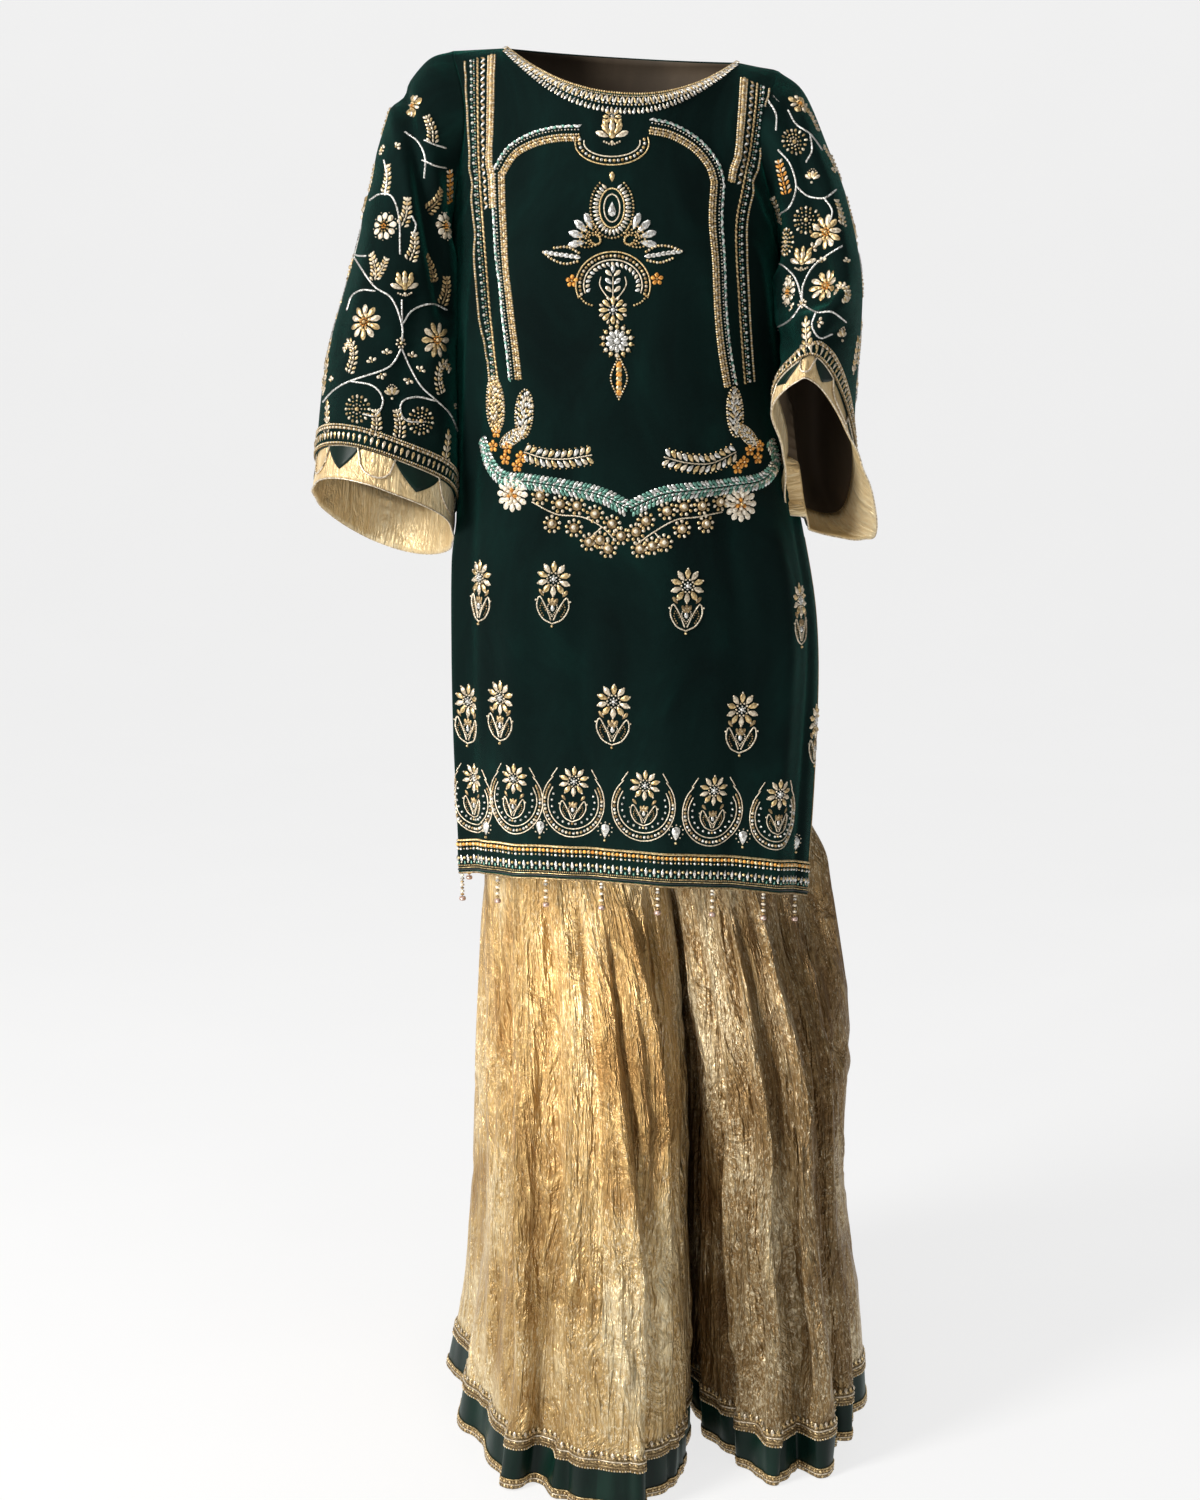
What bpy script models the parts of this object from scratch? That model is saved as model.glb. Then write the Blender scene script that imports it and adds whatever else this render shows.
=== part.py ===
"""Salwar suit as worn: a velvet kameez with bell sleeves over wide trousers of crushed gold tissue.

Metres, +Z up. The origin is the middle of the shoulder line, where the wearer holds the suit up.
The front faces -Y, so the wearer's right side is -X. Every cloth piece is an open sheet through
rings or rows worked out from the tables below, made a closed wall with Solidify.
"""

import bpy
import numpy as np

# Driving sizes of the suit
KAMEEZ_LENGTH = 0.841
HEM_DROOP = 0.024
UNDERARM = -0.200
SLIT_TOP = -0.490
SHOULDER_TO_FLOOR = 1.465
CROTCH = -0.700
WAIST = -0.430
LEAN = 0.060  # the wearer's left shoulder and the kameez hem below it hang this much lower per metre

# Cloth
VELVET = 0.0018
TISSUE = 0.0015
TRIM = 0.0010
BEADWORK = 0.0022
SEAM = 0.0003  # the room between two pieces, at its narrowest
SIDE_SEAM = 0.0008
SHOULDER_SEAM = 0.0024
ARMHOLE_SEAM = 0.0008
TRIM_SEAM = 0.0006
NECK_BAND_SEAM = 0.0006

# How fine the walls are
FRONT_COLUMNS = 22
BACK_COLUMNS = 14
SKIRT_ROWS = 9
CHEST_SHARES = (0, 0.22, 0.44, 0.64, 0.83, 1)  # from the underarm up to the edge of the neck band
CHEST_ROWS = len(CHEST_SHARES) + 2
SLEEVE_COLUMNS = 4 * (CHEST_ROWS - 1)
LEG_COLUMNS = 48
YOKE_COLUMNS = 24

SIDES = {"right": -1, "left": 1}
FACINGS = {"front": -1, "back": 1}

# The body of the kameez, as sections across the wearer. Between underarm and hem
TORSO = {
    "columns": ("height", "centre_x", "half_width", "front", "back"),
    "rows": (
        (-0.900, 0.022, 0.188, 0.122, 0.126),
        (-0.720, 0.022, 0.194, 0.124, 0.124),
        (-0.560, 0.021, 0.192, 0.129, 0.119),
        (-0.420, 0.011, 0.177, 0.128, 0.101),
        (-0.280, 0.002, 0.170, 0.135, 0.102),
        (-0.200, 0.000, 0.168, 0.120, 0.106),
    ),
}
TORSO_ROUNDNESS = 2.2

# Neck and shoulder line. The tips are the outer ends of the shoulder seams
NECK_SHARE = 6 / 11
NECK_ROUNDNESS = 2.2
NECK = {
    "columns": ("facing", "half_width", "reach", "drop", "height"),
    "rows": ((-1, 0.118, 0.100, 0.044, -0.003), (1, 0.118, 0.078, -0.004, -0.003)),
}
NECK_CENTRE = 0.006
SHOULDER_TIP = (0.166, -0.009)
NECK_TRIES = 361  # steps over the shoulder in which the depth of the neck band is looked up

# How far round the body each armhole cuts into the front and back panels, in degrees
SCOOP = {("right", "front"): 30, ("left", "front"): 38, ("right", "back"): 26, ("left", "back"): 26}
SLIT_OPENING = {"right": 7, "left": 14}

# Sleeve rings from armhole to mouth. "top" is the outer side of the arm, "low" the side at the body,
# "rise" lifts the front of the ring and "turn" moves it away from the body
SLEEVE_COLUMN_NAMES = (
    "step", "top_out", "top_z", "low_out", "low_z", "front_y", "back_y", "rise", "turn",
)
SLEEVES = {
    "right": {
        "columns": SLEEVE_COLUMN_NAMES,
        "rows": (
            (0.0, 0.166, -0.006, 0.169, -0.200, -0.062, 0.062, 0.000, 0.000),
            (0.5, 0.194, -0.020, 0.172, -0.207, -0.068, 0.068, 0.000, 0.000),
            (1.0, 0.227, -0.066, 0.172, -0.226, -0.078, 0.078, 0.000, 0.000),
            (2.0, 0.251, -0.150, 0.172, -0.262, -0.086, 0.086, 0.004, 0.000),
            (3.0, 0.277, -0.240, 0.171, -0.318, -0.092, 0.090, 0.010, 0.000),
            (4.0, 0.301, -0.332, 0.170, -0.378, -0.099, 0.091, 0.022, 0.000),
            (5.0, 0.314, -0.434, 0.172, -0.472, -0.107, 0.087, 0.040, 0.000),
            (6.0, 0.319, -0.468, 0.174, -0.508, -0.116, 0.082, 0.042, 0.000),
        ),
    },
    "left": {
        "columns": SLEEVE_COLUMN_NAMES,
        "rows": (
            (0.0, 0.166, -0.006, 0.169, -0.200, -0.062, 0.062, 0.000, 0.000),
            (0.5, 0.193, -0.028, 0.172, -0.207, -0.070, 0.068, 0.000, 0.000),
            (1.0, 0.219, -0.085, 0.173, -0.226, -0.086, 0.080, 0.000, 0.000),
            (2.0, 0.241, -0.152, 0.175, -0.258, -0.106, 0.088, 0.010, 0.000),
            (3.0, 0.252, -0.230, 0.179, -0.305, -0.132, 0.088, 0.045, 0.000),
            (4.0, 0.248, -0.312, 0.183, -0.350, -0.150, 0.060, 0.092, -0.004),
            (5.0, 0.243, -0.372, 0.188, -0.383, -0.156, 0.010, 0.089, -0.026),
            (6.0, 0.251, -0.393, 0.206, -0.398, -0.160, -0.015, 0.085, -0.042),
        ),
    },
}
VELVET_END = 5.0
SLEEVE_STEPS = (0.0, 0.25, 0.6, 1.0, 1.6, 2.3, 3.1, 3.9, 4.7, VELVET_END)
CUFF_BAND_STEPS = (4.7, VELVET_END)
FACING_STEPS = (4.76, 5.07, 5.66, 6.0)
ARMHOLE_BLEND = 1.6

# Points and scallops round each sleeve end
EDGING_REPEATS = 6
SHORTEST_POINT = 0.35

# Trousers: the hips inside the kameez, then each leg from the crotch to the floor
HIPS = {
    "columns": ("height", "centre_x", "half_width", "front", "back"),
    "rows": (
        (-0.700, 0.032, 0.163, 0.091, 0.100),
        (-0.620, 0.029, 0.162, 0.094, 0.102),
        (-0.520, 0.020, 0.155, 0.095, 0.090),
        (-0.430, 0.012, 0.140, 0.092, 0.078),
    ),
}
WAISTBAND_DEPTH = 0.040
LEG_COLUMN_NAMES = ("height", "outer", "inner", "front", "back", "skew", "roundness")
LEGS = {
    "right": {
        "columns": LEG_COLUMN_NAMES,
        "rows": (
            (-1.465, -0.180, 0.073, 0.276, 0.235, 0.12, 2.35),
            (-1.370, -0.166, 0.073, 0.258, 0.222, 0.12, 2.35),
            (-1.240, -0.153, 0.072, 0.224, 0.198, 0.12, 2.35),
            (-1.030, -0.146, 0.070, 0.150, 0.148, 0.12, 2.20),
            (-0.900, -0.143, 0.058, 0.102, 0.106, 0.08, 2.00),
            (-0.850, -0.142, 0.050, 0.094, 0.098, 0.05, 1.90),
            (-0.700, -0.131, 0.031, 0.091, 0.100, 0.00, 1.90),
        ),
    },
    "left": {
        "columns": LEG_COLUMN_NAMES,
        "rows": (
            (-1.465, 0.270, 0.080, 0.232, 0.235, 0.12, 2.20),
            (-1.370, 0.264, 0.080, 0.218, 0.222, 0.12, 2.20),
            (-1.240, 0.246, 0.079, 0.192, 0.198, 0.12, 2.20),
            (-1.030, 0.234, 0.077, 0.134, 0.148, 0.12, 2.10),
            (-0.900, 0.207, 0.066, 0.090, 0.094, 0.07, 1.85),
            (-0.850, 0.198, 0.059, 0.086, 0.092, 0.04, 1.80),
            (-0.700, 0.195, 0.033, 0.091, 0.100, 0.00, 1.80),
        ),
    },
}
LEG_HEIGHTS = (-0.7010, -0.770, -0.850, -0.930, -1.040, -1.160, -1.290, -1.410, -1.465)
OVAL_FROM = -0.850
CROTCH_GAP = 0.0008

# The large folds of each leg: where they lie round the leg (0 front, 90 outer, 180 back, 270 inner),
# how wide and how deep they are at the floor, and the height at which they begin
FOLD_COLUMN_NAMES = ("angle", "spread", "depth", "begins")
FOLDS = {
    "right": {
        "columns": FOLD_COLUMN_NAMES,
        "rows": (
            (12, 11, -0.010, -0.95),
            (27, 9, -0.034, -0.90),
            (43, 10, 0.012, -0.90),
            (60, 9, -0.014, -0.80),
            (74, 9, 0.010, -0.88),
            (89, 9, -0.016, -0.85),
            (105, 10, 0.014, -0.88),
            (121, 9, -0.022, -0.80),
            (137, 10, 0.016, -0.88),
            (152, 9, -0.024, -0.75),
            (168, 10, 0.018, -0.88),
            (184, 9, -0.022, -0.85),
            (200, 10, 0.012, -0.88),
            (222, 10, -0.008, -0.90),
            (345, 11, 0.010, -0.95),
        ),
    },
    "left": {
        "columns": FOLD_COLUMN_NAMES,
        "rows": (
            (320, 9, -0.010, -0.85),
            (339, 9, 0.008, -0.88),
            (357, 9, -0.038, -0.85),
            (14, 9, 0.006, -0.88),
            (34, 24, -0.056, -0.80),
            (66, 11, -0.014, -0.80),
            (90, 13, 0.012, -0.88),
            (110, 9, -0.020, -0.80),
            (127, 10, 0.014, -0.88),
            (143, 9, -0.024, -0.85),
            (159, 10, 0.018, -0.88),
            (176, 9, -0.022, -0.80),
            (193, 10, 0.014, -0.88),
            (212, 10, -0.010, -0.80),
        ),
    },
}
# A flute of the left leg pokes out through the side slit of the kameez
SLIT_FLUTE = {"side": "left", "angle": 90, "spread": 7, "depth": 0.034, "from": -0.74, "full": -0.85}
FLUTE_FADES = -1.25
FOLD_GROWTH = 0.8  # folds deepen quickly at first, then more slowly towards the floor

SATIN_DEPTH = 0.055
UPPER_LACE = 0.015
LOWER_LACE = 0.010

HEM_BORDER = 0.034
NECK_BAND = 0.020
TASSELS = {"front": 8, "back": 8}
TASSEL_SPAN = (0.06, 0.94)  # of the hem's width
TASSEL_LENGTH = 0.030
TASSEL_RADIUS = 0.0028
TASSEL_TAPER = 0.35
TASSEL_INSET = 0.3  # of the piping, how far the strands' heads sit in from its outer face
PIPING = 0.0026

COLOURS = {
    "velvet": ((0.012, 0.045, 0.036, 1), 0.75, 0.0),
    "tissue": ((0.62, 0.42, 0.19, 1), 0.38, 0.55),
    "satin": ((0.010, 0.070, 0.045, 1), 0.35, 0.0),
    "beads": ((0.60, 0.50, 0.30, 1), 0.30, 0.8),
    "lace": ((0.52, 0.40, 0.20, 1), 0.35, 0.8),
}


def clear_scene():
    for obj in list(bpy.data.objects):
        bpy.data.objects.remove(obj, do_unlink=True)


def read(table, name, at):
    """One column of a table, read smoothly at the keys in its first column."""
    rows = np.array(sorted(table["rows"]), float)
    keys = rows[:, 0]
    values = rows[:, table["columns"].index(name)]
    slopes = np.gradient(values, keys)
    at = np.clip(np.asarray(at, float), keys[0], keys[-1])
    low = np.clip(np.searchsorted(keys, at) - 1, 0, len(keys) - 2)
    width = keys[low + 1] - keys[low]
    share = (at - keys[low]) / width
    rest = 1 - share
    return (
        values[low] * (1 + 2 * share) * rest**2
        + values[low + 1] * (3 - 2 * share) * share**2
        + width * share * rest * (slopes[low] * rest - slopes[low + 1] * share)
    )


def ease(value):
    value = np.clip(value, 0, 1)
    return value * value * (3 - 2 * value)


def signed_power(value, power):
    return np.sign(value) * np.abs(value) ** power


def lean(points):
    points[..., 2] -= LEAN * points[..., 0]
    return points


def torso_section(facing, angle, height):
    """Points of the kameez body; angle runs from the panel's middle towards +X, in radians."""
    power = 2 / TORSO_ROUNDNESS
    depth = read(TORSO, facing, height)
    out = read(TORSO, "half_width", height) * signed_power(np.sin(angle), power)
    x = read(TORSO, "centre_x", height) + out
    y = FACINGS[facing] * (SIDE_SEAM / 2 + depth * np.abs(np.cos(angle)) ** power)
    return np.stack(np.broadcast_arrays(x, y, height), axis=-1)


def hem_height(across):
    return -KAMEEZ_LENGTH - HEM_DROOP * across**2


def skirt_rows(facing, across, shares):
    """Rows of a kameez panel from the hem, share 0, to the underarm, share 1."""
    across, shares = np.meshgrid(across, shares)
    height = hem_height(across) * (1 - shares) + UNDERARM * shares
    opened = ease((SLIT_TOP - height) / (SLIT_TOP + KAMEEZ_LENGTH))
    opening = np.where(across < 0, SLIT_OPENING["right"], SLIT_OPENING["left"])
    widest = np.radians(90 - opening * opened)
    return torso_section(facing, across * widest, height)


def top_line(facing, across):
    """The neckline and the two shoulder seams of a panel."""
    row = dict(zip(NECK["columns"], [r for r in NECK["rows"] if r[0] == FACINGS[facing]][0]))
    neck = np.clip(across / NECK_SHARE, -1, 1)
    scooped = 1 - np.abs(neck) ** NECK_ROUNDNESS
    slope = np.clip((np.abs(across) - NECK_SHARE) / (1 - NECK_SHARE), 0, 1)
    tip_out, tip_z = SHOULDER_TIP
    end = NECK_CENTRE + row["half_width"] * neck
    x = end + slope * (np.sign(across) * tip_out - end)
    y = FACINGS[facing] * (SHOULDER_SEAM / 2 + row["reach"] * scooped)
    z = row["height"] - row["drop"] * scooped + slope * (tip_z - row["height"])
    return np.stack([x, y, z], axis=-1)


def chest_points(facing, across, rises):
    """A kameez panel from the underarm, rise 0, over the shoulder to its top line, rise 90 degrees."""
    top = top_line(facing, across)[None]
    rises = np.radians(rises)
    across = np.broadcast_to(across, rises.shape)
    scoop = np.where(across < 0, SCOOP["right", facing], SCOOP["left", facing])
    widest = np.radians(90 - scoop * np.sin(2 * rises))
    base = torso_section(facing, across * widest, np.full(across.shape, UNDERARM))
    upright = np.sin(rises)[..., None]
    level = np.cos(rises)[..., None]
    points = top + (base - top) * level
    points[..., 2:] = base[..., 2:] + (top - base)[..., 2:] * upright
    return points


def chest_rows(facing, across):
    """Rows of the chest; the last three are the edge, the middle and the top of the neck band."""
    tries = np.broadcast_to(np.linspace(90, 0, NECK_TRIES)[:, None], (NECK_TRIES, len(across)))
    steps = np.linalg.norm(np.diff(chest_points(facing, across, tries), axis=0), axis=-1)
    fallen = np.concatenate([np.zeros((1, len(across))), steps.cumsum(axis=0)])
    edge, middle = [
        np.array([np.interp(distance, fallen[:, one], tries[:, one]) for one in range(len(across))])
        for distance in (NECK_BAND, NECK_BAND / 2)
    ]
    rises = [edge * share for share in CHEST_SHARES] + [middle, np.full(len(across), 90.0)]
    return chest_points(facing, across, np.array(rises))


def panel(facing, across, skirt_shares):
    return lean(np.concatenate([skirt_rows(facing, across, skirt_shares), chest_rows(facing, across)[1:]]))


def armhole(side, facing):
    """The armhole edge of one panel, from the underarm up to the shoulder tip."""
    return lean(chest_rows(facing, np.array([float(SIDES[side])])))[:, 0]


def along(line, shares):
    """Points on a polyline whose corners are evenly spaced in share."""
    corners = np.linspace(0, 1, len(line))
    return np.stack([np.interp(shares, corners, line[:, axis]) for axis in range(3)], axis=-1)


def armhole_ring(side, turns):
    """The whole armhole, at turns round the sleeve: 0 shoulder tip, 90 front, 180 underarm, 270 back."""
    front = along(armhole(side, "front"), np.clip(1 - turns / 180, 0, 1))
    back = along(armhole(side, "back"), np.clip(turns / 180 - 1, 0, 1))
    ring = np.where((turns <= 180)[:, None], front, back)
    ring[:, 0] += SIDES[side] * ARMHOLE_SEAM
    return ring


def sleeve_rings(side, steps, turns):
    """Rings at the given steps, or rows of points if each turn has a step of its own."""
    table = SLEEVES[side]
    steps = np.asarray(steps, float)
    steps = steps[:, None] if steps.ndim == 1 else steps
    turn = np.radians(turns)[None]
    value = {name: read(table, name, steps) for name in SLEEVE_COLUMN_NAMES[1:]}
    middle_out = (value["top_out"] + value["low_out"]) / 2
    middle_y = (value["front_y"] + value["back_y"]) / 2
    middle_z = (value["top_z"] + value["low_z"]) / 2
    half_out = (value["top_out"] - value["low_out"]) / 2
    out = middle_out + np.cos(turn) * half_out + np.sin(turn) * value["turn"]
    y = middle_y + np.sin(turn) * (value["front_y"] - value["back_y"]) / 2
    z = middle_z + np.cos(turn) * (value["top_z"] - value["low_z"]) / 2 + np.sin(turn) * value["rise"]
    return lean(np.stack([SIDES[side] * out, y, z], axis=-1))


def sleeve(side, steps, turns):
    """Rings of a sleeve; near the armhole they take the armhole's own shape."""
    rings = sleeve_rings(side, steps, turns)
    off = armhole_ring(side, turns) - sleeve_rings(side, [0.0], turns)[0]
    steps = np.asarray(steps, float)
    steps = steps[:, None] if steps.ndim == 1 else steps
    share = np.clip(1 - steps / ARMHOLE_BLEND, 0, 1) ** 2
    return rings + share[..., None] * off


def hip_rings(heights, angles):
    heights = np.asarray(heights, float)[:, None]
    angles = np.radians(angles)[None]
    depth = np.where(np.cos(angles) > 0, read(HIPS, "front", heights), read(HIPS, "back", heights))
    x = read(HIPS, "centre_x", heights) + read(HIPS, "half_width", heights) * np.sin(angles)
    y = -depth * np.cos(angles)
    return np.stack(np.broadcast_arrays(x, y, heights), axis=-1)


def fold_depth(side, heights, angles):
    """How far the large folds push the leg's wall out, in metres."""
    total = 0.0
    for angle, spread, depth, begins in FOLDS[side]["rows"]:
        apart = (angles - angle + 180) % 360 - 180
        grown = np.clip((begins - heights) / (begins + SHOULDER_TO_FLOOR), 0, 1) ** FOLD_GROWTH
        total = total + depth * grown * np.exp(-((apart / spread) ** 2))
    if side == SLIT_FLUTE["side"]:
        apart = angles - SLIT_FLUTE["angle"]
        grown = ease((SLIT_FLUTE["from"] - heights) / (SLIT_FLUTE["from"] - SLIT_FLUTE["full"]))
        faded = ease((heights - FLUTE_FADES) / (SLIT_FLUTE["full"] - FLUTE_FADES))
        total = total + SLIT_FLUTE["depth"] * grown * faded * np.exp(-((apart / SLIT_FLUTE["spread"]) ** 2))
    return total


def leg_rings(side, heights, angles):
    """Rings of a trouser leg: half of the hips at the crotch, a folded oval below."""
    heights = np.asarray(heights, float)[:, None]
    angles = np.asarray(angles, float)[None]
    turn = np.radians(angles)
    table = LEGS[side]
    value = {name: read(table, name, heights) for name in LEG_COLUMN_NAMES[1:]}
    depth = np.where(np.cos(turn) > 0, value["front"], value["back"])
    power = 2 / value["roundness"]
    centre_x = (value["outer"] + value["inner"]) / 2
    oval_x = centre_x + (value["outer"] - value["inner"]) / 2 * signed_power(np.sin(turn), power)
    oval_y = -depth * signed_power(np.cos(turn), power)
    hips_x = read(HIPS, "centre_x", CROTCH)
    half = read(HIPS, "half_width", CROTCH) - CROTCH_GAP
    half_x = hips_x + SIDES[side] * (CROTCH_GAP + half * np.clip(np.sin(turn), 0, 1))
    half_y = -depth * np.cos(turn)
    share = ease((LEG_HEIGHTS[0] - heights) / (LEG_HEIGHTS[0] - OVAL_FROM))
    x = half_x * (1 - share) + oval_x * share
    y = half_y * (1 - share) + oval_y * share
    x = x - value["skew"] * y
    push = fold_depth(side, heights, angles) * share
    reach = np.hypot(x - centre_x, y)
    x = x + push * (x - centre_x) / reach
    y = y + push * y / reach
    return np.stack(np.broadcast_arrays(x, y, heights), axis=-1)


def normals(grid, ring, flip):
    """Outward unit normals of a grid of points, whose columns close into a ring if ring is true."""
    down = np.gradient(grid, axis=0)
    if ring:
        across = np.roll(grid, -1, axis=1) - np.roll(grid, 1, axis=1)
    else:
        across = np.gradient(grid, axis=1)
    out = np.cross(across, down)
    out /= np.linalg.norm(out, axis=-1, keepdims=True)
    return -out if flip else out


def raised(grid, ring, flip, height):
    """The same points moved out, for a piece that lies on this one."""
    return grid + height * normals(grid, ring, flip)


def material(name):
    found = bpy.data.materials.get(name)
    if found:
        return found
    colour, roughness, metallic = COLOURS[name]
    made = bpy.data.materials.new(name)
    made.use_nodes = True
    shader = made.node_tree.nodes["Principled BSDF"]
    shader.inputs["Base Color"].default_value = colour
    shader.inputs["Roughness"].default_value = roughness
    shader.inputs["Metallic"].default_value = metallic
    return made


def cloth(name, grid, thickness, material_name, collection, ring=False, flip=False, outside=False):
    """A cloth piece: the sheet through a grid of points, made a wall of even thickness."""
    rows, columns = grid.shape[:2]
    faces = []
    for row in range(rows - 1):
        for column in range(columns if ring else columns - 1):
            after = (column + 1) % columns
            corners = [
                row * columns + column,
                row * columns + after,
                (row + 1) * columns + after,
                (row + 1) * columns + column,
            ]
            # Triangles, so that a piece lying on this one bends along the same diagonals
            for a, b, c in ((0, 1, 2), (0, 2, 3)):
                face = [corners[a], corners[b], corners[c]]
                faces.append(face[::-1] if flip else face)
    mesh = bpy.data.meshes.new(name)
    mesh.from_pydata(grid.reshape(-1, 3).tolist(), [], faces)
    mesh.shade_smooth()
    obj = bpy.data.objects.new(name, mesh)
    collection.objects.link(obj)
    obj.data.materials.append(material(material_name))
    wall = obj.modifiers.new("wall", "SOLIDIFY")
    wall.thickness = thickness
    wall.offset = 1 if outside else -1
    wall.use_rim = True
    return obj


def ring_turns(count):
    return np.arange(count) * 360 / count


def make_panels(collection):
    shares = np.linspace(0, 1, SKIRT_ROWS + 1)
    shares[1] = HEM_BORDER / (UNDERARM + KAMEEZ_LENGTH)
    for facing, count in (("front", FRONT_COLUMNS), ("back", BACK_COLUMNS)):
        across = np.linspace(-1, 1, count + 1)
        flip = facing == "back"
        points = panel(facing, across, shares)
        cloth("kameez_" + facing, points, VELVET, "velvet", collection, flip=flip)
        on_top = raised(points[:2], False, flip, SEAM)
        cloth("hem_border_" + facing, on_top, BEADWORK, "beads", collection, flip=flip, outside=True)
        if facing == "front":
            make_neck_band(points, across, collection)
        make_tassels(facing, points[0], collection)


def make_neck_band(points, across, collection):
    """A strip along the neckline, on the top rows of the front panel."""
    inside = np.abs(across) <= NECK_SHARE + 1e-6
    strip = raised(points, False, False, NECK_BAND_SEAM)[-3:, inside]
    cloth("neck_band", strip, BEADWORK, "beads", collection, outside=True)


def make_sleeves(collection):
    turns = ring_turns(SLEEVE_COLUMNS)
    for side in SIDES:
        flip = side == "right"
        rings = sleeve(side, SLEEVE_STEPS, turns)
        cloth("sleeve_" + side, rings, VELVET, "velvet", collection, ring=True, flip=flip)
        band = raised(sleeve(side, CUFF_BAND_STEPS, turns), True, flip, SEAM)
        cloth("cuff_band_" + side, band, BEADWORK, "beads", collection, ring=True, flip=flip, outside=True)
        inset = raised(sleeve(side, FACING_STEPS, turns), True, flip, -(VELVET + TRIM_SEAM))
        cloth("cuff_facing_" + side, inset, TRIM, "tissue", collection, ring=True, flip=flip)
        make_edging(side, inset, turns, flip, collection)


def make_edging(side, facing_rings, turns, flip, collection):
    """A strip whose lower edge runs in points, on the facing just below the end of the velvet."""
    upper, lower = raised(facing_rings, True, flip, SEAM)[1:3]
    wave = np.abs((turns * EDGING_REPEATS / 360 * 2) % 2 - 1)
    share = (SHORTEST_POINT + (1 - SHORTEST_POINT) * wave)[:, None]
    strip = np.stack([upper, upper + (lower - upper) * share])
    cloth("cuff_edging_" + side, strip, TRIM, "satin", collection, ring=True, flip=flip, outside=True)


def make_tassels(facing, hem, collection):
    """A piping strip just under the hem, with bead tassels fused to it."""
    outward = np.zeros_like(hem)
    outward[:, 1] = FACINGS[facing]
    top = hem.copy()
    top[:, 2] -= SEAM
    low = top.copy()
    low[:, 2] -= PIPING
    strip = np.stack([low, top]) + outward * (PIPING - VELVET) / 2
    flip = facing == "back"
    piping = cloth("tassels_" + facing, strip, PIPING, "beads", collection, flip=flip)
    strands = bpy.data.collections.new("strands_" + facing)
    bpy.context.scene.collection.children.link(strands)
    strands.hide_render = True
    spots = np.linspace(*TASSEL_SPAN, TASSELS[facing]) * (len(hem) - 1)
    for number, spot in enumerate(spots):
        foot = np.array([np.interp(spot, np.arange(len(hem)), low[:, axis]) for axis in range(3)])
        foot[1] -= FACINGS[facing] * PIPING * TASSEL_INSET
        bpy.ops.mesh.primitive_cone_add(
            vertices=4,
            radius1=TASSEL_RADIUS,
            radius2=TASSEL_RADIUS * TASSEL_TAPER,
            depth=TASSEL_LENGTH,
            location=(foot[0], foot[1], foot[2] + PIPING / 2 - TASSEL_LENGTH / 2),
        )
        strand = bpy.context.object
        strand.name = f"strand_{facing}_{number}"
        strand.display_type = "WIRE"
        strand.hide_render = True
        for holder in list(strand.users_collection):
            holder.objects.unlink(strand)
        strands.objects.link(strand)
    fuse = piping.modifiers.new("fuse", "BOOLEAN")
    fuse.operation = "UNION"
    fuse.operand_type = "COLLECTION"
    fuse.collection = strands
    fuse.solver = "EXACT"


def make_trousers(collection):
    angles = ring_turns(YOKE_COLUMNS)
    band = hip_rings((WAIST, WAIST - WAISTBAND_DEPTH), angles)
    cloth("trouser_waistband", band, VELVET, "tissue", collection, ring=True, flip=True)
    heights = np.linspace(WAIST - WAISTBAND_DEPTH - SEAM, CROTCH, 4)
    cloth("trouser_yoke", hip_rings(heights, angles), TISSUE, "tissue", collection, ring=True, flip=True)
    turns = ring_turns(LEG_COLUMNS)
    for side in SIDES:
        flip = side == "left"
        rings = leg_rings(side, LEG_HEIGHTS, turns)
        cloth("leg_" + side, rings, TISSUE, "tissue", collection, ring=True, flip=flip)
        satin = raised(rings, True, flip, SEAM)[-2:]
        cloth("satin_hem_" + side, satin, TRIM, "satin", collection, ring=True, flip=flip, outside=True)
        lace = raised(rings, True, flip, SEAM + TRIM + TRIM_SEAM)[-2:]
        for name, start, end in (
            ("lace_upper_", 0.0, UPPER_LACE / SATIN_DEPTH),
            ("lace_lower_", 1 - LOWER_LACE / SATIN_DEPTH, 1.0),
        ):
            strip = np.stack([lace[0] + (lace[1] - lace[0]) * share for share in (start, end)])
            cloth(name + side, strip, TRIM, "lace", collection, ring=True, flip=flip, outside=True)


def main():
    clear_scene()
    suit = bpy.data.collections.new("salwar_suit")
    bpy.context.scene.collection.children.link(suit)
    make_panels(suit)
    make_sleeves(suit)
    make_trousers(suit)


main()
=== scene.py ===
"""Looks of the salwar suit: cloth, beadwork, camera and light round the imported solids.

Metres, +Z up, the front faces -Y. Each shown cloth is a finer sheet through the same tables as its
solid, with small folds added. The beadwork is laid on those sheets.
"""

import bpy
import numpy as np
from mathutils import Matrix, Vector
from mathutils.bvhtree import BVHTree


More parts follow.
